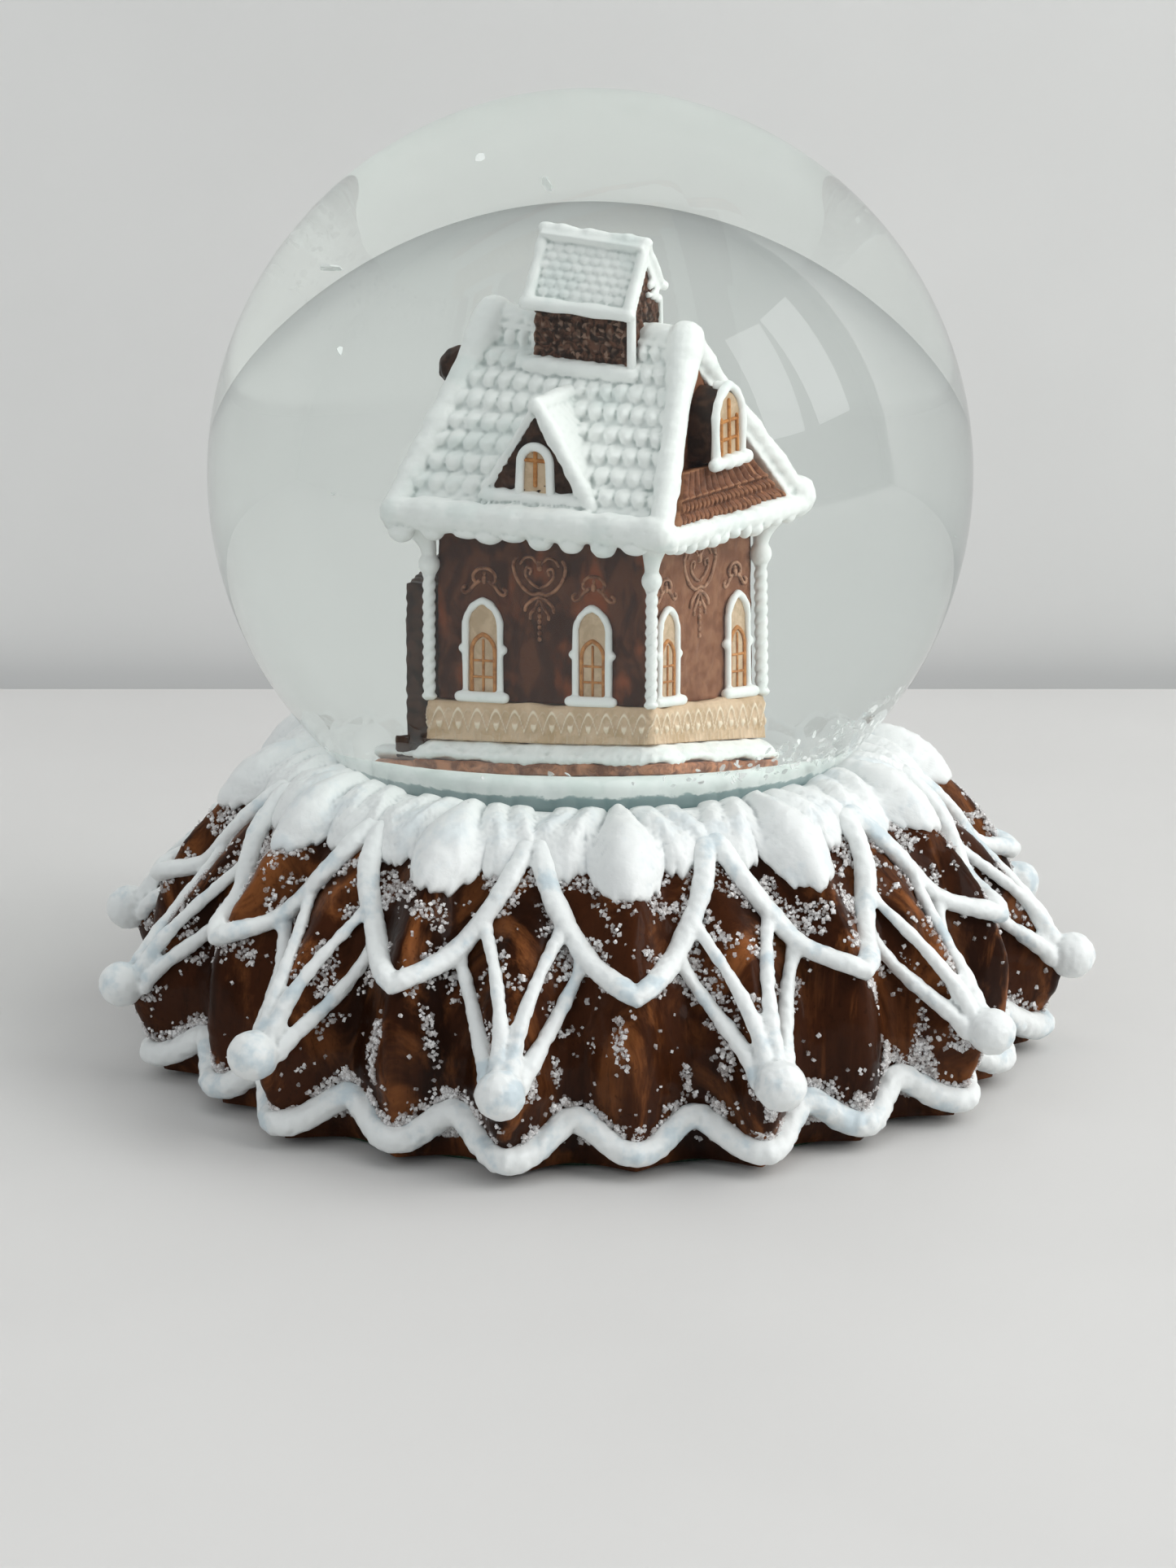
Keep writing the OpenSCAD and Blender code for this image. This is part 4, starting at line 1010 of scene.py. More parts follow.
def hearth_slab(low, high, inset, edge, seed):
    """The part of the plinth that carries the hearth, under the chimney."""
    points, faces = slab(4.6 - inset, 8.5 - inset, low, high, 2.4, edge, seed)
    return points + (-16.2, 0, 0), faces


def plinth():
    board = Shapes()
    board.add(slab(15.1, 12.2, 46.05, 47.5, 2.0, 0.25, 60, wobble=0.16))
    board.add(hearth_slab(46.05, 47.4, 0.0, 0.25, 61))
    house_piece("plinth_board", board, BOARD, "plinth_brown", ["house_plinth"])
    snow = Shapes()
    snow.add(slab(14.75, 11.95, 47.5, 49.75, 2.2, 0.95, 62))
    snow.add(hearth_slab(47.4, 49.0, 0.1, 0.6, 63))
    loop, _ = rounded_loop(14.6, 11.85, 2.0, 1.1)
    for x, y in loop:
        wave = lumps([[x, y, 0]], 5, 64)[0]
        snow.add(ball((x, y, 48.0 - 0.15 * wave), (0.75, 0.75, 0.62 + 0.12 * wave), 10, 8))
    house_piece("plinth_snow", snow, HOUSE_ICING, "snow", ["plinth_snow"], melt=0.24, relax=4,
                push=uneven(0.05, 1.5, 66))


RELIEF = 0.3                           # about the height of the skirting's pattern, in mm


def skirting_relief(along, up):
    """Height of the pressed pattern: a row of pointed arches, each with a bead and two darts."""
    pitch = 2.15

    def arches(shift, width):
        u = np.abs(np.mod(along + shift, pitch) - pitch / 2)
        return u, np.exp(-((up - 1.1 - 2.3 * np.clip(1 - (u / (pitch / 2))**1.7, 0, 1)) / width)**2)

    u, line = arches(0, 0.28)
    bead = np.exp(-((u / 0.3)**2 + ((up - 1.75) / 0.36)**2))
    darts = np.exp(-((u - 0.36) / 0.13)**2) * smooth_step(1.25 - up, 0, 0.3)
    return 0.26 * np.maximum(line, 0.6 * arches(pitch / 2, 0.26)[1]) + 0.32 * bead + 0.18 * darts


def skirting():
    loop, at = rounded_loop(SKIRTING_S, SKIRTING_T, 0.5, 0.13)
    height = WALL_Z - SKIRTING_Z - 0.05
    x, y = loop[:, :1], loop[:, 1:]
    out = np.where(np.abs(x) / SKIRTING_S > np.abs(y) / SKIRTING_T, np.sign(x) * (1, 0), np.sign(y) * (0, 1))
    rings, pattern = [raised(loop * 0.01, SKIRTING_Z)], [0 * at]
    for z in np.linspace(0, height, 34):
        pattern.append(skirting_relief(at, z))
        top = smooth_step(z, height - 0.35, height)
        push = 0.12 * math.exp(-z / 0.5) + pattern[-1] - 0.25 * top
        ring = raised(loop + out * push[:, None], SKIRTING_Z + z)
        ring[:, 2] += 0.16 * top * lumps(ring, 5, 71)
        ring[:, :2] += 0.03 * out * lumps(ring, 1.3, 72)[:, None]
        rings.append(ring)
    rings.append(raised(loop * 0.01, WALL_Z - 0.05))
    pattern.append(0 * at)
    band = house_piece("embossed_skirting", capped(rings), CREAM_PAINT, "cream_paint", ["skirting"])
    mark(band, "relief_highlight", np.append(np.ravel(pattern), (0, 0)).astype(np.float32) / RELIEF)


def wall_top(y):
    return RIDGE_Z - ROOF_DROP - 0.15 - ROOF_RISE * np.abs(y)


def house_walls():
    step = 0.3
    x, y = np.arange(-WALL_S, WALL_S, step), np.arange(-WALL_T, WALL_T, step)
    sides = [np.column_stack(np.broadcast_arrays(*side)) for side in ((x, -WALL_T), (WALL_S, y))]
    loop = np.vstack(sides + [-side for side in sides])
    face = np.repeat([(0.0, -1.0), (1.0, 0.0), (0.0, 1.0), (-1.0, 0.0)], [len(x), len(y)] * 2, axis=0)
    rings = [raised(loop * 0.02, WALL_Z)]
    for v in np.linspace(0, 1, 70):
        ring = raised(loop, WALL_Z + v * (wall_top(loop[:, 1]) - WALL_Z))
        push = -0.09 + 0.05 * lumps(ring, 1.5, 81) + 0.07 * lumps(ring, 4, 82)
        ring[:, :2] += face * push[:, None]
        rings.append(ring)
    rings.append(raised(loop * 0.02, 74.0))
    walls = house_piece("gingerbread_walls", capped(rings), WALLS, "wall_brown", ["house_walls"])
    # Marks the right gable, which the paint makes lighter with painted sheen.
    mark(walls, "gable", np.append(np.tile(face[:, 0] > 0.5, len(rings)), (0, 0)))


# Scrolls pressed into the walls. Each has its curls, which are points and a radius, mirrored to both sides,
# and then its beads, which are where each starts, where it ends and its radius.
HOOD = ((
    (((0.0, 2.3), (0.6, 2.2), (1.15, 1.75), (1.25, 1.15), (0.85, 0.75), (0.55, 1.0), (0.85, 0.75),
      (1.25, 0.4), (1.7, -0.15), (2.2, -0.35), (2.5, 0.0), (2.2, 0.3)), 0.16),
), ((0.95, 1.3, 0.24), (1.75, 1.85, 0.16)))
SWAG = ((
    (((0.1, 5.6), (0.9, 5.5), (1.9, 6.1), (2.7, 7.2), (3.0, 8.4), (2.7, 9.1)), 0.17),
    (((0.15, 6.2), (0.9, 6.6), (1.6, 7.4), (1.5, 8.2), (0.95, 8.1), (1.1, 7.6)), 0.13),
    (((0.1, 5.2), (0.8, 4.9), (1.5, 4.3), (1.65, 3.8)), 0.17),
    (((0.1, 4.9), (0.5, 4.1), (1.0, 3.5), (1.05, 3.0)), 0.15),
    (((0.3, 8.7), (0.9, 9.3), (1.7, 9.2), (2.2, 8.6)), 0.12),
), tuple((z, z + 0.12, 0.19) for z in (3.9, 3.2, 2.6, 2.0, 1.4, 0.8)) + ((8.2, 8.8, 0.25),))


def scroll(shapes, wall, u, z, scale, curls, beads):
    lines = []
    for side in (-1, 1):
        for curl, radius in curls:
            curl = np.array(curl) * scale
            lines.append((spline(on_wall(wall, u + side * curl[:, 0], z + curl[:, 1], 0.0), 6), radius))
    for low, high, radius in beads:
        lines.append((on_wall(wall, u, [z + low * scale, z + high * scale], 0.0), radius))
    for path, radius in lines:
        shapes.add(tube(path, radius * 1.15, 8, up=(0.02, 0.03, 1)))


def wall_scrolls():
    places = [(wall, u, WINDOW_Z + 10.9, 0.85 if wall is RIGHT else 1.0, HOOD) for wall, u in WINDOW_PLACES]
    places += [(wall, u, WINDOW_Z + 5.4, scale, SWAG)
               for wall, u, scale in ((FRONT, -0.7, 1.0), (BACK, -0.7, 1.0), (RIGHT, 0.2, 1.05))]
    # The right gable's scrolls get the lighter copper, with painted sheen like its wall.
    for name, walls, paint in (("wall_scrolls", (FRONT, BACK), COPPER),
                               ("gable_scrolls", (RIGHT,), LIT_COPPER)):
        shapes = Shapes()
        for wall, u, z, scale, pattern in places:
            if wall in walls:
                scroll(shapes, wall, u, z, scale, *pattern)
        house_piece(name, shapes, paint, "wall_brown")


def window_frames():
    frames, panes, bars = Shapes(), Shapes(), Shapes()
    for i, (wall, u) in enumerate(WINDOW_PLACES):
        half, height = (1.95, 9.9) if wall is not RIGHT else (1.85, 9.8)
        outline = pointed_arch(half, height)
        path = spline(on_wall(wall, u + outline[:, 0], WINDOW_Z + outline[:, 1], 0.35), 4)
        flat_on = {"up": np.array(wall[2]) + 0.01}
        frames.add(tube(path, 0.38 * wobble(len(path), i, 0.14), 10, **flat_on))
        sill = on_wall(wall, [u - 2.5, u + 2.5], [WINDOW_Z - 0.1] * 2, 0.6)
        frames.add(tube(np.linspace(*sill, 12), 0.6, 12))
        for side in (-1, 1):
            frames.add(ball(on_wall(wall, u + side * (half + 0.3), WINDOW_Z + 4.9, 0.3), 0.5, 12, 8))
        inner = pointed_arch(half - 0.1, height - 0.2, 6)
        panes.add(prism(*(on_wall(wall, u + inner[:, 0], WINDOW_Z + inner[:, 1], out)
                          for out in (0.22, -0.05))))
        x, z = spline(pointed_arch(1.3, 5.9, 6) + (u, WINDOW_Z + 0.5), 3).T
        lines = [(x, z, 0.26, 0.23), (u, WINDOW_Z + np.linspace(0.6, 5.8, 6), 0.26, 0.15)]
        lines += [(u + np.linspace(-1.15, 1.15, 5), WINDOW_Z + z, 0.26, 0.13) for z in (2.0, 3.7)]
        face_lines(bars, wall, lines, flat=0.8, **flat_on)
    house_piece("window_frames", frames, HOUSE_ICING, "icing", ["window_frames"], melt=0.14, relax=3)
    house_piece("window_panes", panes, PANES, "pane_beige", ["window_panes"], smooth=False)
    house_piece("window_bars", bars, BARS, "pane_beige")


def corner_columns():
    shapes = Shapes()
    for sx in (-1, 1):
        for sy in (-1, 1):
            x, y = sx * (WALL_S + 0.68), sy * (WALL_T + 0.68)
            z = np.linspace(WALL_Z + 0.2, 68.0, 90)
            for strand in range(2):
                turn = TAU * (z - WALL_Z) / 2.3 + strand * math.pi
                path = np.column_stack([x + 0.27 * np.cos(turn), y + 0.27 * np.sin(turn), z])
                shapes.add(tube(path, 0.46, 8, up=(0.3, 0.2, 0.1)))
            shapes.add(ball((x, y, 67.9), (1.12, 1.12, 1.2), 18, 12))
            shapes.add(ball((x, y, WALL_Z + 0.25), (0.85, 0.85, 0.35), 14, 8))
            rise = np.linspace(0, 1, 8)
            path = np.column_stack([x + sx * 1.0 * rise**2, y + sy * 1.1 * rise**2, 68.6 + 3.6 * rise])
            shapes.add(tube(path, 0.75 + 0.85 * rise**1.5, 14))
    house_piece("twisted_columns", shapes, HOUSE_ICING, "icing", ["corner_columns"], melt=0.16, relax=2)


# ---------- House: roofs ----------

def tile_height(across, down, tall):
    """A bulging tile: across counts tiles, down counts rows, and each row is half a tile over."""
    row = np.floor(down)
    u = np.mod(across + 0.5 * np.mod(row, 2), 1) * 2 - 1
    w = np.clip((down - row) / (1 - 0.42 * np.abs(u)**2.2), 0, 1)
    return tall * (1 - np.abs(u)**2.4)**0.8 * np.clip(np.sin(math.pi * w**1.7), 0, 1)**0.7


def slope(ridge_half, eave_half, eave_y, ridge_z, eave_z, side, thick, wide, rows, tall, q_from, q_to, step,
          s0=0.0, inset=0.5):
    """One tiled slope of a roof, as a closed slab. side is -1 at the front and 1 at the back. Its tiles are
    wide and tall mm, in rows that run from q_from to q_to of the way down."""
    length = math.hypot(eave_y, ridge_z - eave_z)
    normal = np.array([0, side * (ridge_z - eave_z), eave_y]) / length
    q = np.arange(0, 1 + 1e-6, step / length)
    p = np.linspace(-1, 1, int(2 * eave_half / step))
    pp, qq = np.meshgrid(p, q)
    half = ridge_half + (eave_half - ridge_half) * qq
    base = np.stack([s0 + pp * half, side * eave_y * qq, ridge_z + (eave_z - ridge_z) * qq], -1)
    inside = smooth_step(qq, q_from - 0.01, q_from + 0.01) * smooth_step(q_to - qq, -0.01, 0.01)
    inside = inside * smooth_step(1 - np.abs(pp), 0.05, 0.1)
    drift = 0.12 * lumps(base, 6, 91)
    down = (qq - q_from) / (q_to - q_from) * rows + 0.15 * drift
    bump = tile_height(pp * eave_half / wide + drift * 0.5, down, tall)
    top = base + normal * (inside * bump + 0.05 * lumps(base, 2.6, 92) - inset)[..., None]
    return sheet(top, base - normal * thick)


def rib(shapes, points, radius, seed, size=2.4, amount=0.1, count=60, sides=14, **options):
    """Adds a line of icing with uneven edges, and gives its path back."""
    path = spline(points, max(2, count // (len(points) - 1)))
    shapes.add(tube(path, radius * (1 + amount * lumps(path, size, seed)), sides, **options))
    return path


def row(half, count, y, z, middle=0.0):
    """Points along the ridge's direction, half a length to each side of the middle."""
    return [(x, y, z) for x in np.linspace(middle - half, middle + half, count)]


def drips(shapes, path, seed, low, high, spacing, wide):
    """Icing that has run over an edge: a row of soft lobes, from low to high mm long."""
    random = np.random.default_rng(seed)
    length = np.concatenate([[0], np.cumsum(np.linalg.norm(np.diff(path, axis=0), axis=1))])
    at = 0.8
    while at < length[-1] - 0.6:
        x, y, z = (np.interp(at, length, path[:, k]) for k in range(3))
        drop = random.uniform(low, high)
        size = wide * random.uniform(0.8, 1.3)
        shapes.add(ball((x, y, z - drop * 0.5), (size, size * 0.8, 0.5 + drop * 0.6), 14, 10))
        at += spacing * random.uniform(0.7, 1.25)


def dormer_roof(shapes, side):
    """Two sheets of snow leant together, with icing along their ridge, their front edges and the sill."""
    front = side * DORMER_T
    rib(shapes, [(x, side * (DORMER_T + 0.05), 75.85) for x in np.linspace(-5.4, 5.2, 5)], 0.8, 165 + side,
        count=30, sides=12)
    for lean in (-1, 1):
        thin = lean == side
        edge = [(0.0, 86.5), (lean * 7.0, 75.7), (lean * 6.0, 74.7), (0.0, 84.3)]
        if thin:
            edge = [(0.0, 85.6), (lean * 6.4, 75.6), (lean * 5.9, 75.2), (0.0, 84.8)]
        shapes.add(wedge(edge, *sorted((front, side * 3.0)), 1))
        rake = [(lean * (0.3 + 6.1 * q), front, 85.5 - 9.8 * q) for q in np.linspace(0, 1, 5)]
        rib(shapes, rake, 0.28 if thin else 0.9, 161 + side + lean * 3, 2.4, 0.12, 30, 12, up=(0, 1, 0.01))
    rib(shapes, [(0, front, 85.7), (0, side * 8, 85.7), (0, side * 5.2, 85.7)], 0.9, 171 + side, count=20)


def main_roof():
    shapes = Shapes()
    for side in (-1, 1):
        shapes.add(slope(RIDGE_S, EAVE_S, EAVE_T, RIDGE_Z, EAVE_Z, side, 2.15, 2.05, 8, 0.85,
                         0.06, 0.87, 0.2, inset=0.32))
        eave = row(EAVE_S - 0.8, 9, side * (EAVE_T - 0.55), EAVE_Z + 0.1)
        path = rib(shapes, eave, 1.55, 101 + side, 3.5, 0.09, flat=1.15)
        drips(shapes, path - (0, 0, 1.3), 111 + side, 0.3, 1.3, 3.3, 1.4)
        for end in (-1, 1):
            verge = [(end * (RIDGE_S - 0.6 + (EAVE_S - RIDGE_S) * q), side * (EAVE_T - 0.4) * q,
                      RIDGE_Z - 0.75 + (EAVE_Z + 0.7 - RIDGE_Z) * q) for q in np.linspace(0, 1, 7)]
            path = spline(verge, 10)
            thick = 1.35 * (1 + 0.08 * lumps(path, 3.0, 121 + side * 2 + end)) * (1.0 if side < 0 else 0.78)
            knob = 0.6 * np.exp(-((path[:, 2] - RIDGE_Z + 0.75) / 3.5)**2)
            shapes.add(tube(path, thick + knob, 16))
            corner = (end * (EAVE_S - 1.0), side * (EAVE_T - 0.9), EAVE_Z - 0.4)
            shapes.add(ball(corner, (1.7, 1.6, 1.7), 18, 12))
    rib(shapes, row(RIDGE_S - 0.4, 7, 0, RIDGE_Z - 0.75), 1.25, 131)
    for end in (-1, 1):
        foot = [(end * (EAVE_S - 0.3), y, EAVE_Z - 0.65) for y in np.linspace(-EAVE_T + 1.2, EAVE_T - 1.2, 9)]
        path = rib(shapes, foot, 1.2, 141 + end, 2.4, 0.16)
        drips(shapes, path - (0, 0, 0.8), 151 + end, 0.2, 0.8, 2.2, 1.0)
    for side in (-1, 1):
        rib(shapes, row(5.8, 7, side * 3.35, RIDGE_Z - 0.2 - ROOF_RISE * 3.3, CUPOLA_S), 0.95, 155 + side)
        dormer_roof(shapes, side)
    house_piece("iced_roof", shapes, HOUSE_ICING, "icing", ["main_roof", "dormer_roofs"], melt=0.2, relax=2,
                push=uneven(0.03, 1.2, 181))


def dormers():
    fronts, frames, panes, bars = Shapes(), Shapes(), Shapes(), Shapes()
    flat_on = {"up": (0.01, 1, 0.01)}
    for side in (-1, 1):
        face = side * (DORMER_T - 0.05)
        wall = ((0, face, 0), (-side, 0, 0), (0, side, 0))
        outline = [(side * 5.7, 75.9), (-side * 5.0, 76.1), (0, 84.9)]
        fronts.add(wedge(outline, *sorted((face, side * 5)), 1))
        angle = np.radians(np.linspace(180, 0, 13))
        round_top = np.stack([1.35 * np.cos(angle), 79.6 + 1.75 * np.sin(angle)], -1)
        x, z = np.vstack([[-1.45, 76.4], round_top, [1.45, 76.4]]).T
        frames.add(tube(spline(on_wall(wall, x * 1.25, z, 0.2), 4), 0.5, 10, **flat_on))
        panes.add(prism(*(on_wall(wall, x, z, out) for out in (0.12, -0.2))))
        lines = ((0, [77.3, 79, 80.9], 0.16, 0.24), ([-1.1, 0, 1.1], 79.9, 0.16, 0.22))
        face_lines(bars, wall, lines, **flat_on)
    house_piece("dormer_fronts", fronts, DARK_BROWN, "wall_brown", ["dormers"], melt=0.2, relax=1,
                push=uneven(0.09, 1.1, 185))
    house_piece("dormer_frames", frames, HOUSE_ICING, "icing", melt=0.13, relax=2)
    house_piece("dormer_panes", panes, PANES, "pane_beige", smooth=False)
    house_piece("dormer_bars", bars, BARS, "pane_beige")


def cupola():
    walls = Shapes()
    outline = [(-3.0, 86.0), (3.0, 86.0), (3.0, 93.9), (0, 99.4), (-3.0, 93.9)]
    walls.add(wedge(outline, CUPOLA_S - 5.6, CUPOLA_S + 5.6, 0))
    random = np.random.default_rng(190)
    for x in np.arange(-4.4, 5.0, 0.95):
        for side in (-1, 1):
            high = random.uniform(91.2, 92.6)
            walls.add(ball((CUPOLA_S + x, side * 3.0, high), (0.42, 0.3, random.uniform(0.3, 0.6)), 10, 8))
    house_piece("cupola_walls", walls, MOTTLED, "wall_brown", ["cupola_walls"], melt=0.18, relax=1,
                push=uneven(0.09, 0.9, 191))
    roof = Shapes()
    half, ridge_z = 6.0, CUPOLA_TOP - 0.5
    for side, eave_y, eave_z, thick in ((-1, 4.2, 94.3, 0.62), (1, 3.3, 95.9, 0.45)):
        roof.add(slope(half, half, eave_y, CUPOLA_TOP, eave_z, side, 1.5, 1.25, 7, 0.26,
                       0.1, 0.88, 0.16, CUPOLA_S, 0.2))
        edge = row(half, 7, side * (eave_y - 0.15), eave_z - 0.05, CUPOLA_S)
        rib(roof, edge, thick + 0.1, 201 + side, 2.2, 0.12, sides=12)
        for end in (-1, 1):
            verge = [(CUPOLA_S + end * (half - 0.2), side * eave_y * q,
                      ridge_z - (CUPOLA_TOP - eave_z - 0.3) * q) for q in np.linspace(0, 1, 5)]
            rib(roof, verge, thick, 211 + side * 2 + end, 2.2, 0.12, sides=12)
    rib(roof, row(half, 6, 0, ridge_z, CUPOLA_S), 0.6, 221, 1.8, 0.18, sides=12)
    for side in (-1, 1):
        post = [(CUPOLA_S + 5.65, side * 3.0, z) for z in (RIDGE_Z - 0.6 - ROOF_RISE * 3.0, 91.5, 94.6)]
        roof.add(tube(post, 0.5 if side < 0 else 0.3, 12, up=(1, 0.1, 0)))
    for y, z, size in ((0.9, 96.4, 0.6), (1.7, 95.2, 0.75), (2.5, 94.6, 0.6), (0.5, 95.4, 0.4)):
        for x in (CUPOLA_S - 5.7, CUPOLA_S + 5.7):
            roof.add(ball((x, y, z), (0.45, size, size * 0.8), 14, 10))
    house_piece("cupola_roof", roof, HOUSE_ICING, "icing", ["cupola_roof"], melt=0.17, relax=2)


COURSE, BRICK = 1.6, 1.3               # from one course of bricks to the next, and a brick's own height


def chimney():
    hearth = box((-17.9, -8.2, 47.7), (-14.9, 8.2, 49.95))
    breast = box((-16.1, -9.3, 49.2), (-12.4, 9.3, 65.6))
    shoulders = wedge([(-9.3, 65.5), (9.3, 65.5), (4.0, 67.5), (-1.6, 67.5)], -16.1, -13.6, 0)
    shaft = box((-15.5, -0.5, 66), (-13.7, 3.7, 85.6))
    round_top = tube([(-15.4, 1.6, 85.4), (-13.8, 1.6, 85.4)], 2.05, 28)
    shapes = Shapes()
    for shape in (hearth, breast, shoulders, shaft, round_top):
        shapes.add(shape)
    for course, z in enumerate(np.arange(51.0, 84.0, COURSE)):
        x, half, middle = (-16.1, 9.3, 0.0) if z < 64 else (-15.5, 2.1, 1.6)
        shift, top = course % 2, z + BRICK
        for y in np.arange(-half + 0.9 * shift, half - 0.5, 2.4):
            shapes.add(box((x - 0.12, middle + y + 0.15, z), (x + 0.2, middle + min(y + 2.2, half), top)))
        for face in (middle - half, middle + half):
            for a, b in ((0.1, 0.9 + 0.8 * shift), (1.2 + 0.8 * shift, 2.9)):
                shapes.add(box((x + a, face - 0.12, z), (x + b, face + 0.12, top)))
    house_piece("chimney_stack", shapes, DARK_BROWN, "wall_brown", ["chimney"], melt=0.24, relax=2,
                push=uneven(0.06, 1.4, 231))


def gable_canopy():
    """The tiled canopy over the right gable: long ribs that fan out above two rows of small tiles."""
    u, v = np.meshgrid(np.linspace(-1, 1, 230), np.linspace(0, 1, 56))
    half, x, z = 6.4 + 4.2 * v, 14.3 + 1.7 * v, 78.7 - 5.0 * v
    ribs = 0.34 * np.abs(np.cos(u * math.pi * 6.5))**0.8
    tiles = tile_height(u * 11, (v - 0.52) / 0.24, 0.42)
    lower = smooth_step(v, 0.5, 0.54)
    lift = ribs * (1 - lower) + tiles * lower + 0.2 * smooth_step(v, 0.4, 0.5) * (1 - lower)
    top = np.stack([x + lift * 0.9, u * half, z + lift * 0.4], -1)
    bottom = np.stack([np.full_like(x, 12.3), u * half * 0.97, z - 0.3], -1)
    house_piece("gable_canopy", Shapes().add(sheet(top, bottom)), TILES, "plinth_brown", ["gable_canopy"])


def oriel():
    """The small arched bay that stands on the canopy, under its own cap of snow."""
    middle, foot, half, tall = 0.5, 79.2, 2.6, 7.5
    outline = pointed_arch(half, tall)
    bay = Shapes().add(wedge(outline + (middle, foot), 12.3, 15.3, 0))
    house_piece("oriel_bay", bay, DARK_BROWN, "wall_brown", sharp=35)
    glazing = Shapes().add(wedge(outline * (0.86, 0.9) + (middle, foot + 0.4), 15.1, 15.6, 0))
    house_piece("oriel_pane", glazing, PANES, "pane_beige", ["oriel_window"], smooth=False)
    front = ((15.6, 0, 0), (0, 1, 0), (1, 0, 0))
    flat_on = {"up": (1, 0.01, 0.01)}
    lines = [(middle, [foot + 0.8, 82.5, 85.4], 0.02, 0.26)]
    lines += [(middle + np.array([-1.7, 0, 1.7]), z, 0.02, 0.2) for z in (81.4, 83.3)]
    lines += [(middle + side * 1.55, [foot + 0.8, 81.5, 83.6], 0.02, 0.24) for side in (-1, 1)]
    bars = Shapes()
    face_lines(bars, front, lines, **flat_on)
    house_piece("oriel_bars", bars, BARS, "pane_beige")
    trim = Shapes()
    path = spline(on_wall(front, middle + outline[:, 0], foot + 0.3 + outline[:, 1], 0.0), 4)
    trim.add(tube(path, 0.5 * wobble(len(path), 240, 0.16), 12, **flat_on))
    cap = [(x, middle, foot + tall + 0.1) for x in (14.3, 14.9, 15.5)]
    rib(trim, cap, 0.55, 243, count=20, sides=12)
    sill = [(15.8, y, foot - 0.1) for y in np.linspace(middle - 3.2, middle + 3.2, 5)]
    rib(trim, sill, 0.72, 241, 2.0, 0.14, 30, 12)
    house_piece("oriel_trim", trim, HOUSE_ICING, "icing", melt=0.15, relax=2)


# ---------- Parts of the CAD frame that stay, with their own paints ----------

def keep_frame():
    paints = {
        BRASS: ["spring_barrel", "winding_key", "tune_cylinder", "tune_pins", "crown_pinion",
                "cylinder_wheel"],
        ZINC: ["cover_screws", "bedplate", "movement_screws", "winding_arbor", "cylinder_bearings",
               "cylinder_shaft", "comb_block", "comb_screws", "governor_bracket"],
        SPRING: ["mainspring", "comb"],
        FELT: ["felt_ring"],
        CARD: ["bottom_cover"],
        RUBBER: ["neck_gasket", "stopper"],
        SNOW: ["globe_adhesive"],
        NYLON: ["governor_wheel", "governor_fly"],
    }
    for paint, nodes in paints.items():
        for name in nodes:
            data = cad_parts[name].data
            data.materials.clear()
            data.materials.append(paint)


# ---------- Stage, light and camera ----------

def stage_paint(name, colour, rough):
    """A plain surface that the camera sees through from behind."""
    p = Paint(name)
    p.colour(p.mix(p.band(p.noise(60, 2), 0.3, 0.7), colour, tuple(0.97 * c for c in colour)))
    p.set(Roughness=rough)
    seen_from_behind = p.math("MULTIPLY", p.node("ShaderNodeNewGeometry").outputs["Backfacing"],
                              p.node("ShaderNodeLightPath").outputs["Is Camera Ray"])
    p.see_through(seen_from_behind, p.shader.outputs[0])
    return p.material


TABLE, TABLE_BACK, TABLE_HOLE = 2500.0, 190.0, 50.0
BACKDROP_Y, BACKDROP_Z = 200, (-300, 1800)


def stage():
    """The table and the backdrop. The table is open under the base, so that its underside is lit too."""
    corners = [math.atan2(y, x) for x in (-TABLE, TABLE) for y in (-TABLE, TABLE_BACK)]
    angle = np.sort(np.concatenate([np.linspace(-math.pi, math.pi, 96, endpoint=False), corners]))
    c, s = np.cos(angle), np.sin(angle)
    side = np.where(s > 0, TABLE_BACK, TABLE)
    reach = np.minimum(TABLE / np.maximum(np.abs(c), 1e-9), side / np.maximum(np.abs(s), 1e-9))
    rings = [np.stack([r * c, r * s, 0 * c], -1) for r in (TABLE_HOLE, reach)]
    floor = new_mesh("floor", np.vstack(rings), grid_faces(2, len(angle), wrap_columns=True))
    low, high = BACKDROP_Z
    corners = [(-TABLE, low), (TABLE, low), (TABLE, high), (-TABLE, high)]
    wall = new_mesh("backdrop", [(x, BACKDROP_Y, z) for x, z in corners], [[0, 1, 2, 3]])
    floor.materials.append(stage_paint("pale_table", (0.68, 0.675, 0.665), 0.55))
    wall.materials.append(stage_paint("pale_wall", (0.76, 0.765, 0.755), 0.7))
    for mesh in (floor, wall):
        obj = bpy.data.objects.new(mesh.name, mesh)
        bpy.context.scene.collection.objects.link(obj)


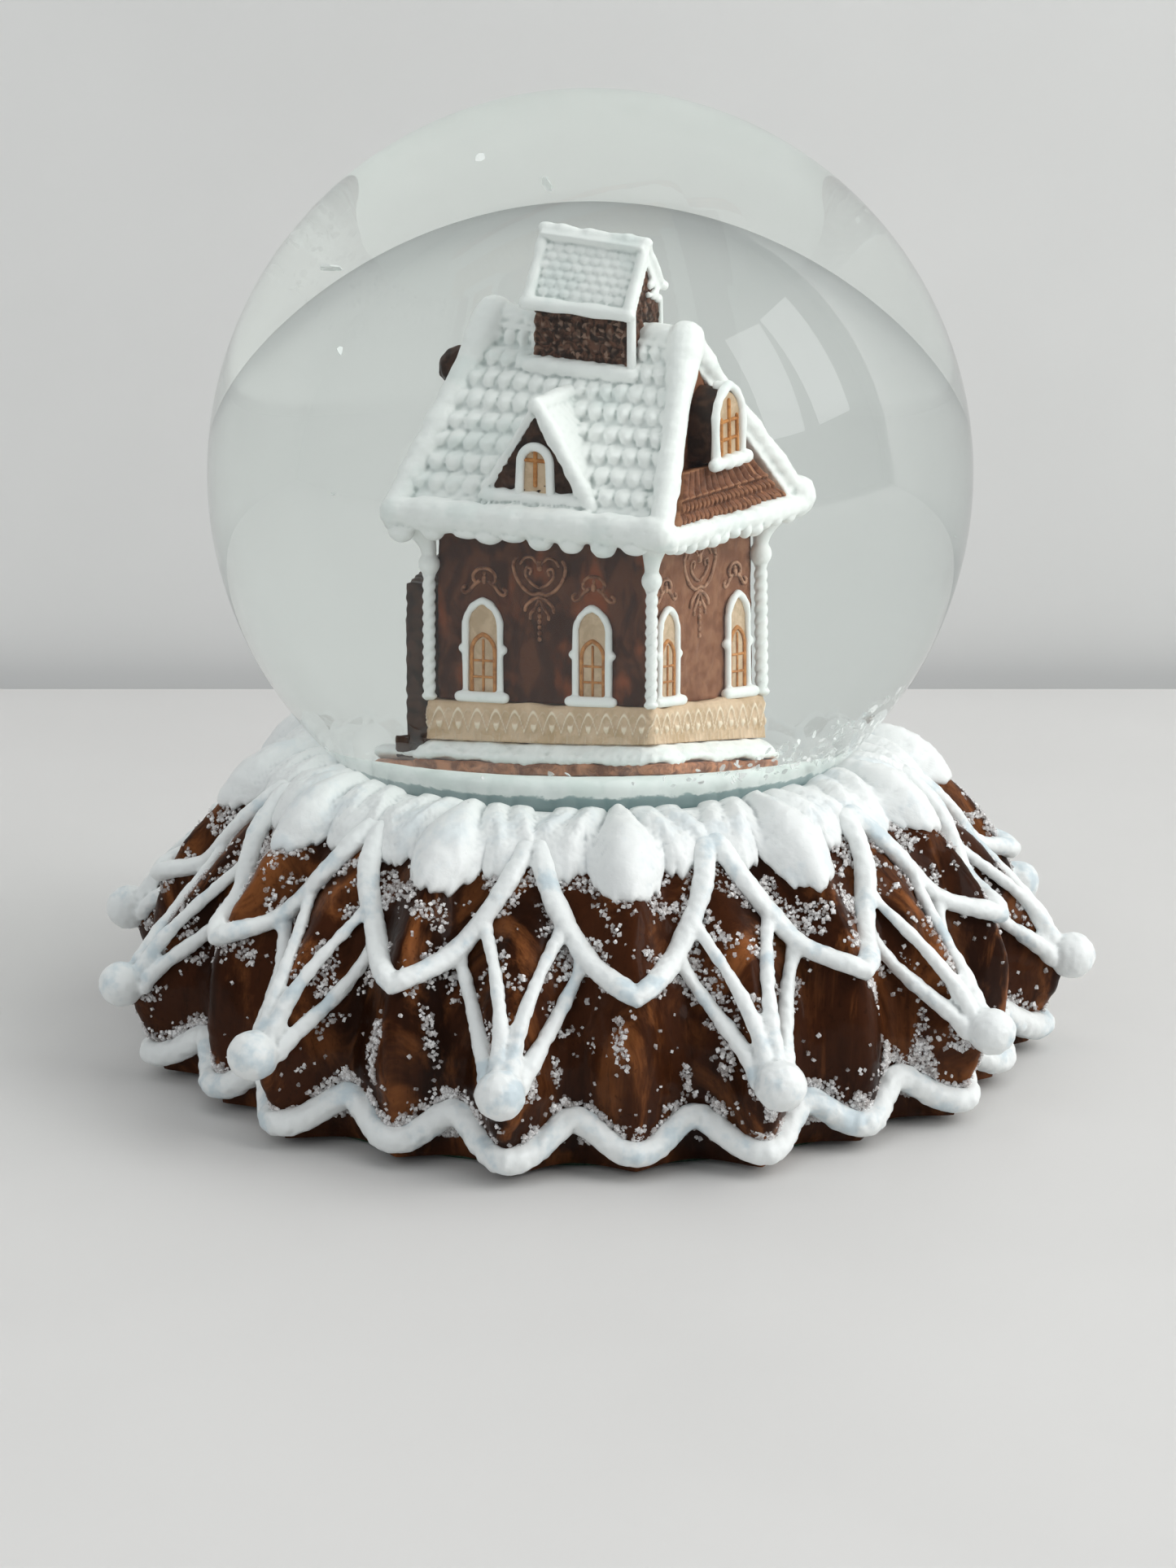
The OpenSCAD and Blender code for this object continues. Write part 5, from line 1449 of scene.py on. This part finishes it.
def soft_light(name, at, towards, size, power, colour=(1, 1, 1), mirrored=False, spread=180):
    """An area lamp. Only a mirrored one shows in glossy surfaces. spread is its cone, in degrees."""
    lamp = bpy.data.lights.new(name, "AREA")
    lamp.shape = "RECTANGLE"
    lamp.size, lamp.size_y = size
    lamp.energy, lamp.color, lamp.spread = power, colour, math.radians(spread)
    obj = bpy.data.objects.new(name, lamp)
    obj.location = Vector(at)
    obj.rotation_euler = (Vector(towards) - Vector(at)).to_track_quat("-Z", "Y").to_euler()
    obj.visible_glossy, obj.visible_transmission, obj.visible_camera = mirrored, False, False
    bpy.context.scene.collection.objects.link(obj)


def light():
    """A dim room with a large window on the right, two bright panes of it that show in the glass, soft light
    from above and from the left, and a little from under the table."""
    world = bpy.data.worlds.new("soft_room")
    world.use_nodes = True
    room = world.node_tree.nodes["Background"].inputs
    room["Color"].default_value, room["Strength"].default_value = (0.93, 0.97, 1.0, 1), 0.17
    bpy.context.scene.world = world
    soft_light("window", (1.0, -0.25, 0.66), (0, 0, 0.05), (1.1, 1.2), 11.8, (1.0, 0.995, 0.98))
    soft_light("fill", (-0.8, -0.85, 0.7), (0, 0, 0.05), (1.2, 1.2), 5.6, (0.97, 0.985, 1.0))
    soft_light("from_below", (0, 0, -0.25), (0, 0, 0), (0.15, 0.15), 0.3, spread=40)
    for name, x, y in (("left_pane", 0.92, -0.52), ("right_pane", 1.02, -0.2)):
        soft_light(name, (x, y, 0.66), (0, 0, 0.05), (0.27, 0.6), 1.1, mirrored=True)
    soft_light("overhead", (0.1, 0.0, 1.3), (0, 0.05, 0), (1.2, 1.2), 4.7)


CAMERA_AT, CAMERA_DOWN, LENS = (-0.0003, -0.4564, 0.15956), 15.41, 80.88   # metres, degrees and mm


def camera():
    """A long lens a little above the globe, looking down on it."""
    lens = bpy.data.cameras.new("camera")
    lens.sensor_width, lens.lens = 36.0, LENS
    lens.clip_start, lens.clip_end = 0.01, 20
    obj = bpy.data.objects.new("camera", lens)
    obj.location, obj.rotation_euler = CAMERA_AT, (math.radians(90 - CAMERA_DOWN), 0, 0)
    bpy.context.scene.collection.objects.link(obj)
    bpy.context.scene.camera = obj


base_casting()
icing_lines()
cream_garland()
sugar()
globe()
snowy_ground()
loose_snow()
plinth()
skirting()
house_walls()
wall_scrolls()
window_frames()
corner_columns()
main_roof()
dormers()
cupola()
chimney()
gable_canopy()
oriel()
keep_frame()
stage()
light()
camera()
bpy.context.scene.view_settings.view_transform = "Standard"
